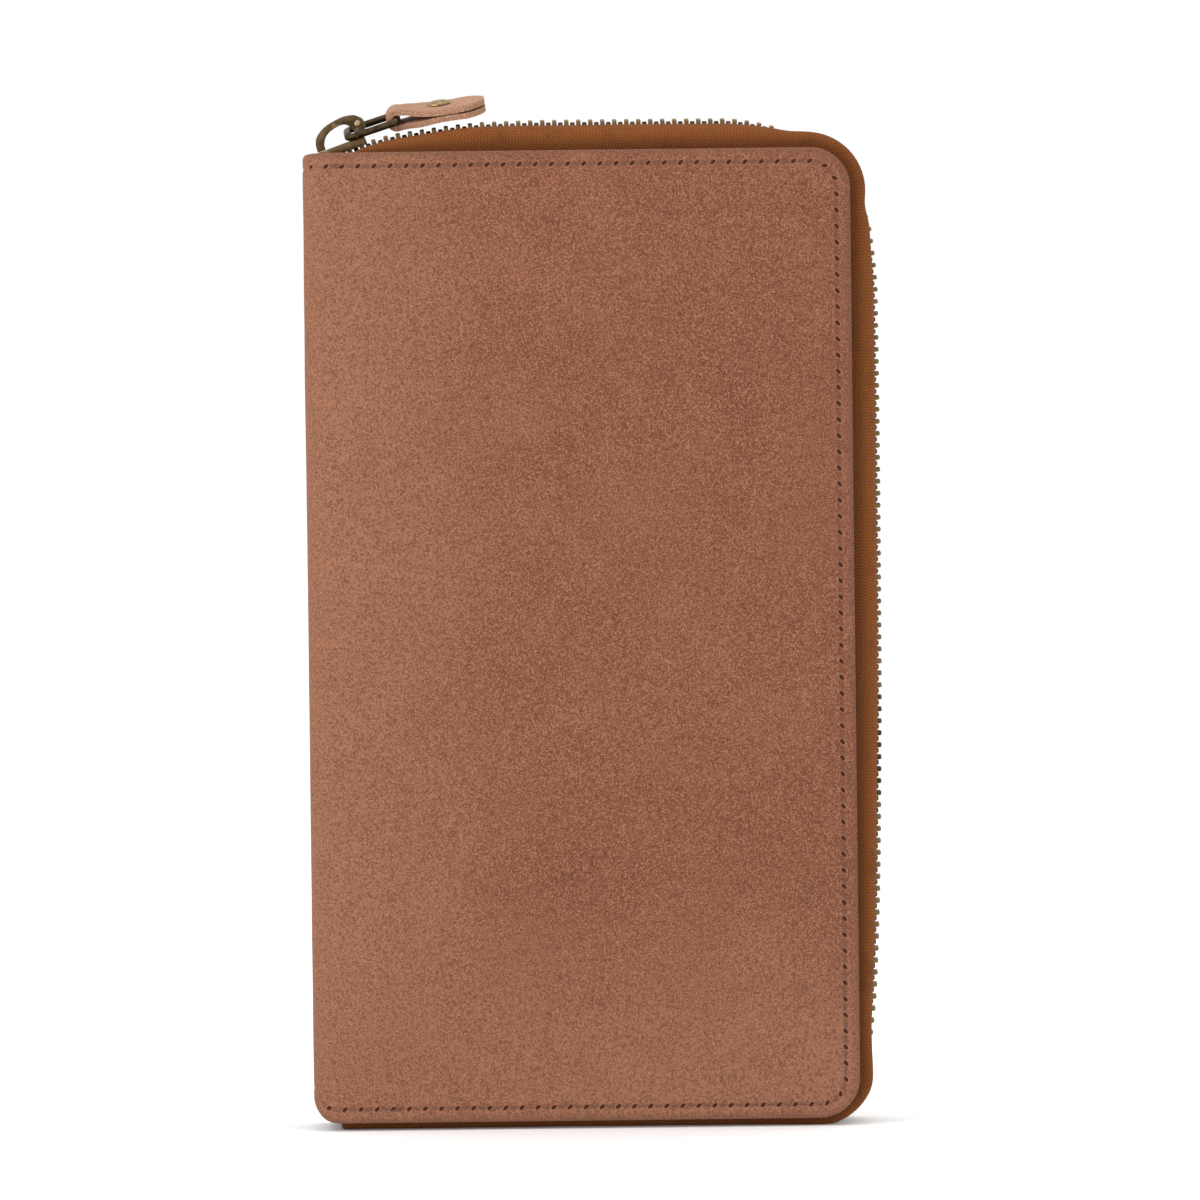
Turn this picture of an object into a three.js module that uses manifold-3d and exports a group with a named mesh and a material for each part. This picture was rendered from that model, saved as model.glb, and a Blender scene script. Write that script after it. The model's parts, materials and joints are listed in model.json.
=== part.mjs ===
// Zip-around leather wallet, standing upright on its squashed bottom zip.
// Millimetres. +X runs from the spine to the opening edge, +Y from the front cover to the back cover.
// +Z is up.
// The origin is the middle of the footprint, on the surface that the wallet stands on.
//
// Two stiffened leather covers hang on a spine strip that folds at both of its edges. A metal zip runs round
// the top, the opening edge and the bottom: each cover carries one woven tape and one row of teeth.
// Inside, the front cover has a slip pocket with six card pockets, and the back cover a note pocket with a
// zipped coin pocket.
import * as THREE from "three";
import { mergeVertices } from "three/addons/utils/BufferGeometryUtils.js";
import Module from "manifold-3d";

const wasm = await Module();
wasm.setup();

// ---- driving dimensions ----
const COVER_W = 108.8; // spine to opening edge
const COVER_H = 193;
const CLOSED_T = 25; // outer face to outer face
const CORNER_R = 8;
const FOLD_R = 5; // outer radius of the leather where it turns into the spine
const STAND = 1.6; // the covers' bottom edges above the surface
const LEATHER_T = 1.4;
const BOARD_T = 0.8;
const LINING_T = 0.5;
const PANEL_T = 0.7;
const CARD_PANEL_T = 0.5;
const LAYER_GAP = 0.1; // glue line between two layers
const TAPE_T = 0.6;
const TAPE_SEWN = 6; // width of tape caught in the cover's edge seam
const CHAIN_OUT = 5.6; // how far the teeth stand out of the opening edge
const TOOTH_PITCH = 2.39;
const TOOTH_W = 0.85;
const TOOTH_T = 2.4;
const TOOTH_TIP = 0.9; // how far a tooth reaches past the middle of the chain
const TOOTH_NECK = 2.3; // from the middle of the chain to the foot of a tooth
const CHAIN_HALF = 3.6;
const SLIDER_TILT = 20; // degrees, where the chain dives towards the spine
const LINK_RISE = 18; // degrees that the pull link stands above level
const TAB_RISE = 8.5;
const PULL_ROLL = 9; // degrees that the pull leans over towards the front cover

// ---- derived places ----
const SPINE_X = -(COVER_W + CHAIN_OUT) / 2;
const EDGE_X = SPINE_X + COVER_W;
const BOTTOM_Z = STAND;
const TOP_Z = STAND + COVER_H;
const FACE_Y = CLOSED_T / 2;
const rad = THREE.MathUtils.degToRad;

// Depth of each layer's outer and inner side from the outer face of a cover.
const LEATHER = [0, LEATHER_T];
const BOARD = [LEATHER[1] + LAYER_GAP, LEATHER[1] + LAYER_GAP + BOARD_T];
const TAPE_MID = BOARD[1] + LAYER_GAP + TAPE_T / 2;
const LINING_OUT = TAPE_MID + TAPE_T / 2 + LAYER_GAP;
const LINING = [LINING_OUT, LINING_OUT + LINING_T];
const PANEL = [LINING[1] + LAYER_GAP, LINING[1] + LAYER_GAP + PANEL_T];

// ---- materials ----
const material = (color, roughness, metalness = 0) =>
  new THREE.MeshStandardMaterial({ color, roughness, metalness });
const MATERIALS = {
  leather: material(0xa5694c, 0.78),
  board: material(0x8a7a66, 0.9),
  lining: material(0x5b3a24, 0.85),
  tape: material(0xa3622b, 0.8),
  brass: material(0x5c4a30, 0.42, 1),
  rivet: material(0xb9a06a, 0.35, 1),
};

// ---- shapes ----

/**
 * A rectangle from (x0, z0) to (x1, z1) with rounded corners. The radii are of the bottom left, bottom right,
 * top right and top left corners.
 */
function roundedRect(x0, z0, x1, z1, radii) {
  const [bl, br, tr, tl] = radii;
  const shape = new THREE.Shape();
  shape.moveTo(x0 + bl, z0).lineTo(x1 - br, z0);
  if (br) shape.absarc(x1 - br, z0 + br, br, -Math.PI / 2, 0, false);
  shape.lineTo(x1, z1 - tr);
  if (tr) shape.absarc(x1 - tr, z1 - tr, tr, 0, Math.PI / 2, false);
  shape.lineTo(x0 + tl, z1);
  if (tl) shape.absarc(x0 + tl, z1 - tl, tl, Math.PI / 2, Math.PI, false);
  shape.lineTo(x0, z0 + bl);
  if (bl) shape.absarc(x0 + bl, z0 + bl, bl, Math.PI, 1.5 * Math.PI, false);
  return shape;
}

/** A shape in the X-Z plane, as thick as the stretch of Y from y0 to y1. */
function plate(shape, y0, y1, curveSegments = 8) {
  const geometry = new THREE.ExtrudeGeometry(shape, {
    depth: y1 - y0,
    bevelEnabled: false,
    curveSegments,
  });
  return geometry.rotateX(Math.PI / 2).translate(0, y1, 0);
}

/** A shape in the X-Y plane, standing from z0 to z1. */
function prism(shape, z0, z1, curveSegments = 8) {
  const geometry = new THREE.ExtrudeGeometry(shape, {
    depth: z1 - z0,
    bevelEnabled: false,
    curveSegments,
  });
  return geometry.translate(0, 0, z0);
}

const block = (x0, x1, y0, y1, z0, z1) =>
  plate(roundedRect(x0, z0, x1, z1, [0, 0, 0, 0]), y0, y1);

/** A closed geometry as a manifold-3d solid. */
function solid(geometry) {
  const bare = new THREE.BufferGeometry()
    .setAttribute("position", geometry.getAttribute("position").clone())
    .setIndex(geometry.index);
  const merged = mergeVertices(bare, 1e-4);
  return new wasm.Manifold(
    new wasm.Mesh({
      numProp: 3,
      vertProperties: merged.attributes.position.array,
      triVerts: new Uint32Array(merged.index.array),
    }),
  );
}

/** A manifold-3d solid as a geometry. */
function geometryOf(made) {
  const mesh = made.getMesh();
  return new THREE.BufferGeometry()
    .setAttribute("position", new THREE.BufferAttribute(mesh.vertProperties, 3))
    .setIndex(new THREE.BufferAttribute(mesh.triVerts, 1));
}

const join = (...geometries) =>
  geometryOf(geometries.map(solid).reduce((a, b) => a.add(b)));
const cut = (geometry, ...tools) =>
  geometryOf(
    tools.map(solid).reduce((a, b) => a.subtract(b), solid(geometry)),
  );
const common = (a, b) => geometryOf(solid(a).intersect(solid(b)));

/** A closed geometry from corner triples. If its faces turn out to point inwards, they are turned round. */
function closedGeometry(points, triangles) {
  const flat = new Float32Array(points.flatMap((p) => [p.x, p.y, p.z]));
  let volume = 0;
  for (const [a, b, c] of triangles)
    volume += points[a].dot(points[b].clone().cross(points[c]));
  const turned = volume < 0 ? triangles.map(([a, b, c]) => [a, c, b]) : triangles;
  return new THREE.BufferGeometry()
    .setAttribute("position", new THREE.BufferAttribute(flat, 3))
    .setIndex(turned.flat());
}

/** A solid through a row of closed sections, which all have the same number of points. */
function loft(sections) {
  const n = sections[0].length;
  const triangles = [];
  for (let i = 0; i < sections.length - 1; i++)
    for (let j = 0; j < n; j++) {
      const a = i * n + j;
      const b = i * n + ((j + 1) % n);
      triangles.push([a, b, b + n], [a, b + n, a + n]);
    }
  // A band section is its outer line and then its inner line back, so each end closes as a ladder.
  const last = (sections.length - 1) * n;
  for (let j = 0; j < n / 2 - 1; j++) {
    const [a, b, c, d] = [j, j + 1, n - 2 - j, n - 1 - j];
    triangles.push([a, c, b], [a, d, c]);
    triangles.push([last + a, last + b, last + c], [last + a, last + c, last + d]);
  }
  return closedGeometry(sections.flat(), triangles);
}

// ---- the rail that the big zip follows ----
const TOP_RUN = COVER_W - CORNER_R;
const CORNER_RUN = (Math.PI / 2) * CORNER_R;
const SIDE_RUN = COVER_H - 2 * CORNER_R;
const RAIL = 2 * TOP_RUN + 2 * CORNER_RUN + SIDE_RUN;

/** The cover's edge at the distance s from the top of the spine: its point and outward direction, in X-Z. */
function edgeAt(s) {
  const right = EDGE_X - CORNER_R;
  if (s <= TOP_RUN) return { x: SPINE_X + s, z: TOP_Z, nx: 0, nz: 1 };
  if (s <= TOP_RUN + CORNER_RUN) {
    const angle = Math.PI / 2 - (s - TOP_RUN) / CORNER_R;
    return arcPoint(right, TOP_Z - CORNER_R, angle);
  }
  if (s <= TOP_RUN + CORNER_RUN + SIDE_RUN) {
    const down = s - TOP_RUN - CORNER_RUN;
    return { x: EDGE_X, z: TOP_Z - CORNER_R - down, nx: 1, nz: 0 };
  }
  if (s <= RAIL - TOP_RUN) {
    const angle = -(s - TOP_RUN - CORNER_RUN - SIDE_RUN) / CORNER_R;
    return arcPoint(right, BOTTOM_Z + CORNER_R, angle);
  }
  return { x: right - (s - RAIL + TOP_RUN), z: BOTTOM_Z, nx: 0, nz: -1 };
}

function arcPoint(cx, cz, angle) {
  const [nx, nz] = [Math.cos(angle), Math.sin(angle)];
  return { x: cx + CORNER_R * nx, z: cz + CORNER_R * nz, nx, nz };
}

// How far the teeth's outer side stands out of the cover's edge, at distances along the rail.
// The chain dives into the spine at both ends, sinks at the corners and bows out between them.
const SIDE_START = TOP_RUN + CORNER_RUN;
const SIDE_END = SIDE_START + SIDE_RUN;
const BOTTOM_START = RAIL - TOP_RUN;
const CHAIN_RISE = [
  [0, -2.47],
  [3.4, -1.23],
  [8.4, 0.59],
  [13, 2.27],
  [18, 3.6],
  [24, 4.5],
  [31, 5.4],
  [38, 5.9],
  [50, 6.1],
  [84, 6],
  [TOP_RUN - 9, 4.9],
  [TOP_RUN - 3, 2.9],
  [TOP_RUN + CORNER_RUN / 2, 1.9],
  [SIDE_START + 3, 2.6],
  [SIDE_START + 8, 4.3],
  [SIDE_START + 22, 5.5],
  [SIDE_START + 50, CHAIN_OUT],
  [SIDE_START + 90, 5.5],
  [SIDE_END - 45, 4.9],
  [SIDE_END - 18, 3.9],
  [SIDE_END - 5, 2.6],
  [SIDE_END + CORNER_RUN / 2, 1.5],
  [BOTTOM_START + 6, 1.4],
  [RAIL - 14, 1.4],
  [RAIL - 6, 0],
  [RAIL, -2],
];

/** The height of the chain above the edge at s: a smooth line through CHAIN_RISE that never overshoots. */
function chainRise(s) {
  const i = Math.max(1, CHAIN_RISE.findIndex(([at]) => at >= s));
  const slope = (k) => {
    const j = Math.min(Math.max(k, 1), CHAIN_RISE.length - 1);
    return (
      (CHAIN_RISE[j][1] - CHAIN_RISE[j - 1][1]) / (CHAIN_RISE[j][0] - CHAIN_RISE[j - 1][0])
    );
  };
  const tangent = (k) =>
    slope(k) * slope(k + 1) <= 0 ? 0 : (2 * slope(k) * slope(k + 1)) / (slope(k) + slope(k + 1));
  const [s0, r0] = CHAIN_RISE[i - 1];
  const [s1, r1] = CHAIN_RISE[i];
  const span = s1 - s0;
  const t = (s - s0) / span;
  const [t2, t3] = [t * t, t * t * t];
  return (
    r0 * (2 * t3 - 3 * t2 + 1) +
    tangent(i - 1) * span * (t3 - 2 * t2 + t) +
    r1 * (3 * t2 - 2 * t3) +
    tangent(i) * span * (t3 - t2)
  );
}

/** A point of the zip: s along the rail, y across the wallet, n out of the cover's edge. */
function railPoint(s, y, n) {
  const e = edgeAt(s);
  return new THREE.Vector3(e.x + e.nx * n, y, e.z + e.nz * n);
}

/** Stations along a stretch, closer together round the corners. */
function stations(from, to) {
  const found = [];
  for (let s = from; s < to - 1; ) {
    found.push(s);
    const nearCorner = [TOP_RUN, SIDE_END].some((c) => s > c - 12 && s < c + CORNER_RUN + 6);
    s += nearCorner ? 2.4 : s < 40 ? 4 : 11;
  }
  return [...found, to];
}

const TAPE_EDGE = CHAIN_HALF + 0.3;
const ARCH = 4.4; // height of the tape's arch on the straight runs
const CORNER_ARCH = 2.6; // and at a corner, where it swells out past the teeth

/** How near a corner's middle s is, from 0 to 1. */
function cornerShare(s) {
  const middles = [TOP_RUN + CORNER_RUN / 2, SIDE_END + CORNER_RUN / 2];
  return Math.max(...middles.map((m) => Math.exp(-(((s - m) / 13) ** 2))));
}

/** How much the arch swells beyond a quarter round, where the tape's edge at the teeth is crown high. */
function archBulge(s, crown) {
  const corner = cornerShare(s);
  const highest = ARCH - (ARCH - CORNER_ARCH) * corner;
  const arch = Math.min(highest, crown + 0.3 + CORNER_ARCH * corner);
  return Math.max(0.1, arch - 0.8 * Math.max(crown, 0));
}

/**
 * One side's tape at s: sewn flat inside the cover's edge, then arched over to the teeth.
 * The surface below squashes the arch flat along the bottom.
 */
function tapeSection(s, side) {
  const seamY = FACE_Y - TAPE_MID;
  const crown = chainRise(s) - TOOTH_T / 2;
  const under = THREE.MathUtils.smoothstep(s, SIDE_END, BOTTOM_START);
  const reach = Math.max(crown, THREE.MathUtils.lerp(crown, Math.min(1.9, (RAIL - s) / 3), under));
  const bulge = archBulge(s, reach) * (1 - 0.6 * under);
  const line = [{ y: seamY, n: -TAPE_SEWN }, { y: seamY, n: Math.min(-0.4, reach - 0.2) }];
  const start = line[1].n;
  for (const degrees of [25, 50, 72, 90]) {
    const a = rad(degrees);
    line.push({
      y: TAPE_EDGE + (seamY - TAPE_EDGE) * Math.cos(a),
      n: start + (reach - start) * Math.sin(a) + bulge * Math.sin(2 * a),
    });
  }
  const offset = (k, by) => {
    const [p, q] = [line[Math.max(k - 1, 0)], line[Math.min(k + 1, line.length - 1)]];
    const [dy, dn] = [q.y - p.y, q.n - p.n];
    const length = Math.hypot(dy, dn);
    return { y: line[k].y + (by * dn) / length, n: line[k].n - (by * dy) / length };
  };
  const floor = (p, z) => {
    p.z = Math.max(p.z, z);
    return p;
  };
  const outer = line.map((_, k) => offset(k, TAPE_T / 2));
  const inner = line.map((_, k) => offset(k, -TAPE_T / 2)).reverse();
  return [
    ...outer.map((p) => floor(railPoint(s, side * p.y, p.n), 0)),
    ...inner.map((p) => floor(railPoint(s, side * p.y, p.n), TAPE_T)),
  ];
}

const TAPE_FROM = 5.5;
const TAPE_TO = RAIL - 5.5;
const tape = (side) => loft(stations(TAPE_FROM, TAPE_TO).map((s) => tapeSection(s, side)));

/**
 * A row of teeth on its bead. place(s, a, n) puts a point: s along the zip, a across it and n through its
 * thickness.
 */
function teethRow({ first, count, pitch, width, thick, tip, neck, half, side, place }) {
  const points = [];
  const triangles = [];
  const at = new Map();
  const point = (s, a, n) => {
    const key = [s, a, n].map((v) => v.toFixed(4)).join();
    if (!at.has(key)) at.set(key, points.push(place(s, -side * a, n)) - 1);
    return at.get(key);
  };
  const wall = (p, q) => {
    const [a, b, c, d] = [
      point(...p, -thick / 2),
      point(...q, -thick / 2),
      point(...q, thick / 2),
      point(...p, thick / 2),
    ];
    triangles.push([a, b, c], [a, c, d]);
  };
  for (let i = 0; i < count; i++) {
    const s = first + i * pitch;
    const [left, right, next] = [s - width / 2, s + width / 2, s + pitch - width / 2];
    const end = i === count - 1 ? right : next;
    // One cell: the bead from this tooth to the next, and the tooth.
    const cell = [
      [left, -half],
      [end, -half],
      ...(end === right ? [] : [[end, -neck]]),
      [right, -neck],
      [right, tip],
      [left, tip],
      [left, -neck],
    ];
    const contour = cell.map(([x, y]) => new THREE.Vector2(x, y));
    for (const [a, b, c] of THREE.ShapeUtils.triangulateShape(contour, [])) {
      triangles.push([a, b, c].map((k) => point(...cell[k], thick / 2)));
      triangles.push([a, c, b].map((k) => point(...cell[k], -thick / 2)));
    }
    cell.forEach((p, k) => {
      const q = cell[(k + 1) % cell.length];
      const isBeadStart = p[0] === left && q[0] === left && q[1] === -half;
      const isBeadEnd = end !== right && p[0] === end && q[0] === end;
      if ((isBeadStart && i > 0) || isBeadEnd) return;
      wall(p, q);
    });
  }
  return closedGeometry(points, triangles);
}

const SLIDER_S = 8.4; // where the slider's middle sits on the rail
const FIRST_TOOTH = SLIDER_S - 1.2;
const TOOTH_COUNT = Math.floor((RAIL - 2 * FIRST_TOOTH) / TOOTH_PITCH);

/** The big zip's row of teeth on one side. The two rows stand half a pitch apart, so they mesh. */
const bigTeeth = (side) =>
  teethRow({
    first: FIRST_TOOTH + (side > 0 ? TOOTH_PITCH / 2 : 0),
    count: TOOTH_COUNT,
    pitch: TOOTH_PITCH,
    width: TOOTH_W,
    thick: TOOTH_T,
    tip: TOOTH_TIP,
    neck: TOOTH_NECK,
    half: CHAIN_HALF,
    side,
    place: (s, a, n) => railPoint(s, a, chainRise(s) - TOOTH_T / 2 + n),
  });

// ---- building the tree of nodes ----
const wallet = new THREE.Group();

function add(name, geometry, slot, parent = wallet) {
  const mesh = new THREE.Mesh(geometry, MATERIALS[slot]);
  mesh.name = name;
  parent.add(mesh);
}

function frame(name, position, rotation, parent = wallet) {
  const group = new THREE.Group();
  group.name = name;
  group.position.set(...position);
  group.rotation.set(...rotation.map(rad), "YXZ");
  parent.add(group);
  return group;
}

/** A layer's stretch of Y on the front (side -1) or back (side 1) cover. */
const layerY = (side, [out, inn]) =>
  [side * (FACE_Y - out), side * (FACE_Y - inn)].sort((a, b) => a - b);

/** A cover's layers: leather outside, then board, tape, lining. */
function addCover(name, side) {
  const outline = (inset, left, spineCorner = 0) =>
    roundedRect(
      SPINE_X + left,
      BOTTOM_Z + inset,
      EDGE_X - inset,
      TOP_Z - inset,
      [spineCorner, CORNER_R - inset, CORNER_R - inset, spineCorner],
    );
  add(`${name}_leather`, plate(outline(0, FOLD_R + 0.2), ...layerY(side, LEATHER)), "leather");
  add(`${name}_board`, plate(outline(0.6, FOLD_R + 1), ...layerY(side, BOARD)), "board");
  const lining = outline(1.2, FOLD_R + 0.6, 9);
  add(`${name}_lining`, plate(lining, ...layerY(side, LINING)), "lining");
  add(`${name}_zip_tape`, tape(side), "tape");
  add(`${name}_teeth`, bigTeeth(side), "brass");
}

/** The strip of leather round the spine, and its lining. */
function addSpine() {
  const [front, back] = [-FACE_Y + FOLD_R, FACE_Y - FOLD_R];
  const cx = SPINE_X + FOLD_R;
  const strip = (outer, inner) =>
    new THREE.Shape()
      .absarc(cx, front, outer, -Math.PI / 2, -Math.PI, true)
      .absarc(cx, back, outer, Math.PI, Math.PI / 2, true)
      .absarc(cx, back, inner, Math.PI / 2, Math.PI, false)
      .absarc(cx, front, inner, Math.PI, 1.5 * Math.PI, false);
  const lined = FOLD_R - LEATHER_T - LAYER_GAP;
  add("spine_leather", prism(strip(FOLD_R, FOLD_R - LEATHER_T), BOTTOM_Z, TOP_Z), "leather");
  add(
    "spine_lining",
    prism(strip(lined, lined - LINING_T), BOTTOM_Z + 1.2, TOP_Z - 1.2),
    "lining",
  );
}

// ---- the slider and its pull ----
const SLIDER_HALF_L = 5;
const SLIDER_HALF_W = 4.3;
const PLATE_T = 0.9;

/** A zip slider: two plates with side flanges, and the post between them that parts the teeth. */
function sliderBody({ halfL, halfW, plateT, channel, slot, wallT, postHalf }) {
  const shoulder = halfL * 0.45;
  const nose = halfW * 0.62;
  const plan = (w, l) =>
    new THREE.Shape()
      .moveTo(-l, -nose)
      .quadraticCurveTo(-l * 0.8, -w, -shoulder, -w)
      .lineTo(l - 0.8, -w)
      .quadraticCurveTo(l, -w, l, -w + 0.8)
      .lineTo(l, w - 0.8)
      .quadraticCurveTo(l, w, l - 0.8, w)
      .lineTo(-shoulder, w)
      .quadraticCurveTo(-l * 0.8, w, -l, nose);
  const shell = (z0, z1) => prism(plan(halfW, halfL), z0, z1, 5);
  const post = new THREE.Shape()
    .moveTo(-halfL + 0.6, -postHalf)
    .lineTo(-halfL + 2.2, -postHalf)
    .lineTo(-halfL + 2.9, 0)
    .lineTo(-halfL + 2.2, postHalf)
    .lineTo(-halfL + 0.6, postHalf);
  const inside = block(-halfL - 1, halfL + 1, wallT - halfW, halfW - wallT, -channel, channel);
  const openSide = block(-halfL - 1, halfL + 1, -halfW - 1, halfW + 1, -slot, slot);
  const hollow = cut(shell(-channel - plateT, channel + plateT), inside, openSide);
  return join(hollow, prism(post, -channel - 0.2, channel + 0.2, 3));
}

/** The slider's crown: the bow over its outer plate that holds the link. It is highest at the rear. */
function crownShape(k) {
  const v = (x, z) => new THREE.Vector2(x * k, z * k);
  return new THREE.Shape()
    .moveTo(-4.8 * k, 0)
    .splineThru([v(-4.65, 1.6), v(-3.8, 3.1), v(-1.5, 4.4), v(2.2, 4.95), v(4.5, 4.55)])
    .splineThru([v(5.75, 3.4), v(6, 2), v(5.4, 0.8), v(4.9, 0)])
    .lineTo(3.6 * k, 0)
    .splineThru([v(3.4, 1.4), v(3, 2.6), v(1.7, 3.5), v(-0.9, 3.15), v(-2.4, 2.2), v(-3.1, 1)])
    .lineTo(-3.2 * k, 0);
}

const PIN_AT = { x: 4.6, z: 2.75 }; // in the crown's rear lobe, above the plate
const PIN_R = 0.6;
const PIN_CLEARANCE = 0.05;

const LINK_LENGTH = 10.4; // between the middles of its two end bars
const LINK_WIDTH = 10.4;
const LINK_WIRE = 0.75; // radius
const LINK_BEND = 1.7;

/** The bent-wire link, a rectangle with round corners whose first end bar lies on the local Y axis. */
function linkGeometry() {
  const far = LINK_WIDTH / 2;
  const at = (x, y) => new THREE.Vector3(x, y, 0);
  const path = new THREE.CurvePath();
  path.add(new THREE.LineCurve3(at(0, 0), at(0, far - LINK_BEND)));
  path.add(new THREE.QuadraticBezierCurve3(at(0, far - LINK_BEND), at(0, far), at(LINK_BEND, far)));
  path.add(new THREE.LineCurve3(at(LINK_BEND, far), at(LINK_LENGTH - LINK_BEND, far)));
  path.add(
    new THREE.QuadraticBezierCurve3(
      at(LINK_LENGTH - LINK_BEND, far),
      at(LINK_LENGTH, far),
      at(LINK_LENGTH, far - LINK_BEND),
    ),
  );
  path.add(new THREE.LineCurve3(at(LINK_LENGTH, far - LINK_BEND), at(LINK_LENGTH, 0)));
  const wire = new THREE.Shape().absarc(0, 0, LINK_WIRE, 0, 2 * Math.PI);
  const half = solid(
    new THREE.ExtrudeGeometry(wire, { steps: 30, curveSegments: 5, extrudePath: path, bevelEnabled: false }),
  );
  return geometryOf(half.add(half.mirror([0, 1, 0])));
}

const TAB_LEATHER = 1.2;
const TAB_FOLD = 1.05; // inner radius of the loop round the link's bar
const TAB_LENGTH = 18.2; // from the link's bar to the tip
const TAB_HALF_W = 6.2;
const TAB_NECK_HALF_W = 3.9;
const RIVET_X = 8.6;
const RIVET_POST_R = 0.9;

/** The leather tab: one strip folded round the link's bar, its two leaves riveted together. */
function tabGeometry() {
  const outer = TAB_FOLD + TAB_LEATHER;
  const slit = 0.12; // half of the space between the leaves
  const side = new THREE.Shape()
    .moveTo(TAB_LENGTH, slit)
    .lineTo(TAB_LENGTH, slit + TAB_LEATHER)
    .lineTo(6, slit + TAB_LEATHER)
    .lineTo(3, slit + TAB_LEATHER + 0.35)
    .absarc(0, 0, outer, rad(65), rad(295), false)
    .lineTo(3, -slit - TAB_LEATHER - 0.35)
    .lineTo(6, -slit - TAB_LEATHER)
    .lineTo(TAB_LENGTH, -slit - TAB_LEATHER)
    .lineTo(TAB_LENGTH, -slit)
    .lineTo(5.4, -slit)
    .absarc(0, 0, TAB_FOLD, rad(300), rad(60), true)
    .lineTo(5.4, slit);
  const wide = TAB_HALF_W;
  const neck = TAB_NECK_HALF_W;
  const plan = new THREE.Shape()
    .moveTo(-outer - 1, -neck)
    .lineTo(1.2, -neck)
    .bezierCurveTo(3.2, -neck, 3, -wide, 6, -wide)
    .lineTo(TAB_LENGTH - 5, -wide + 0.3)
    .bezierCurveTo(TAB_LENGTH - 1.4, -wide + 0.5, TAB_LENGTH, -3.6, TAB_LENGTH, 0)
    .bezierCurveTo(TAB_LENGTH, 3.6, TAB_LENGTH - 1.4, wide - 0.5, TAB_LENGTH - 5, wide - 0.3)
    .lineTo(6, wide)
    .bezierCurveTo(3, wide, 3.2, neck, 1.2, neck)
    .lineTo(-outer - 1, neck);
  const strip = plate(side, -wide - 1, wide + 1, 5);
  const bore = new THREE.CylinderGeometry(RIVET_POST_R + 0.3, RIVET_POST_R + 0.3, 8, 12);
  bore.rotateX(Math.PI / 2).translate(RIVET_X, 0, 0);
  return cut(common(strip, prism(plan, -4, 4, 6)), bore);
}

/** A round part turned about the tab's thickness, from (radius, height) pairs that run from axis to axis. */
function turned(profile, x, segments = 16) {
  const points = profile.map(([r, h]) => new THREE.Vector2(r, h));
  return new THREE.LatheGeometry(points, segments).rotateX(Math.PI / 2).translate(x, 0, 0);
}

function addSlider() {
  const u = rad(SLIDER_TILT);
  const chain = chainRise(SLIDER_S) - TOOTH_T / 2;
  const slider = frame(
    "slider_frame",
    [SPINE_X + SLIDER_S, 0, TOP_Z + chain],
    [0, -SLIDER_TILT, 0],
  );
  const channel = TOOTH_T / 2 + 0.25;
  add(
    "slider_body",
    sliderBody({
      halfL: SLIDER_HALF_L,
      halfW: SLIDER_HALF_W,
      plateT: PLATE_T,
      channel,
      slot: 0.65,
      wallT: 0.5,
      postHalf: 0.9,
    }),
    "brass",
    slider,
  );
  const plateTop = channel + PLATE_T;
  const crown = plate(crownShape(1), -1.3, 1.3, 4).translate(0, 0, plateTop + 0.1);
  const rod = (radius, length) =>
    new THREE.CylinderGeometry(radius, radius, length, 16).translate(PIN_AT.x, 0, plateTop + PIN_AT.z);
  add("slider_crown", cut(crown, rod(PIN_R + PIN_CLEARANCE, 4)), "brass", slider);
  add("crown_pin", rod(PIN_R, 3), "rivet", slider);

  // The link's near bar lies in the crown, and the link leans over its own length.
  const bar = { x: 1.95, z: plateTop + 1.4 };
  const link = frame(
    "pull_link_frame",
    [
      slider.position.x + bar.x * Math.cos(u) - bar.z * Math.sin(u),
      0,
      slider.position.z + bar.x * Math.sin(u) + bar.z * Math.cos(u),
    ],
    [PULL_ROLL, -LINK_RISE, 0],
  );
  add("pull_link", linkGeometry(), "brass", link);

  const tab = frame("pull_tab_frame", [LINK_LENGTH, 0, 0], [0, LINK_RISE - TAB_RISE, 0], link);
  add("pull_tab_leather", tabGeometry(), "leather", tab);
  const face = 0.12 + TAB_LEATHER + 0.1;
  const cap = [
    [0, -face - 0.1],
    [RIVET_POST_R, -face - 0.1],
    [RIVET_POST_R, face],
    [2.5, face],
    [2.4, face + 0.35],
    [1.6, face + 0.7],
    [0, face + 0.85],
  ];
  const burr = [
    [RIVET_POST_R + 0.15, -face - 0.5],
    [2.1, -face - 0.5],
    [2.1, -face],
    [RIVET_POST_R + 0.15, -face],
    [RIVET_POST_R + 0.15, -face - 0.5],
  ];
  add("tab_rivet_cap", turned(cap, RIVET_X), "rivet", tab);
  add("tab_rivet_burr", turned(burr, RIVET_X), "rivet", tab);

  // Thin crimped stops on the two tapes, either side of the slider's post.
  for (const [name, side] of [
    ["front_top_stop", -1],
    ["back_top_stop", 1],
  ]) {
    const [y0, y1] = [side * 1.3, side * 3.5].sort((a, b) => a - b);
    add(name, block(-SLIDER_HALF_L + 0.2, -SLIDER_HALF_L + 2, y0, y1, -0.5, 0.5), "brass", slider);
  }
}

/** The box at the far end of the zip, on the back tape, which the slider parts from last. */
function addBottomStop() {
  const last = FIRST_TOOTH + TOOTH_PITCH / 2 + (TOOTH_COUNT - 1) * TOOTH_PITCH;
  const s = last + 1.6;
  const centre = railPoint(s + 1.2, 0, chainRise(s) - TOOTH_T / 2 - 0.3);
  const { x, z } = centre;
  add("bottom_stop", block(x - 1.2, x + 1.2, 0.4, 3.4, z - 0.9, z + 0.9), "brass");
}

// ---- pockets ----
const POCKET_LEFT = SPINE_X + FOLD_R + 4;
const POCKET_RIGHT = EDGE_X - 6.6;
const CARD_TIERS = 6;
const CARD_STEP = 13;
const CARD_DEPTH = 56;

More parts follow.
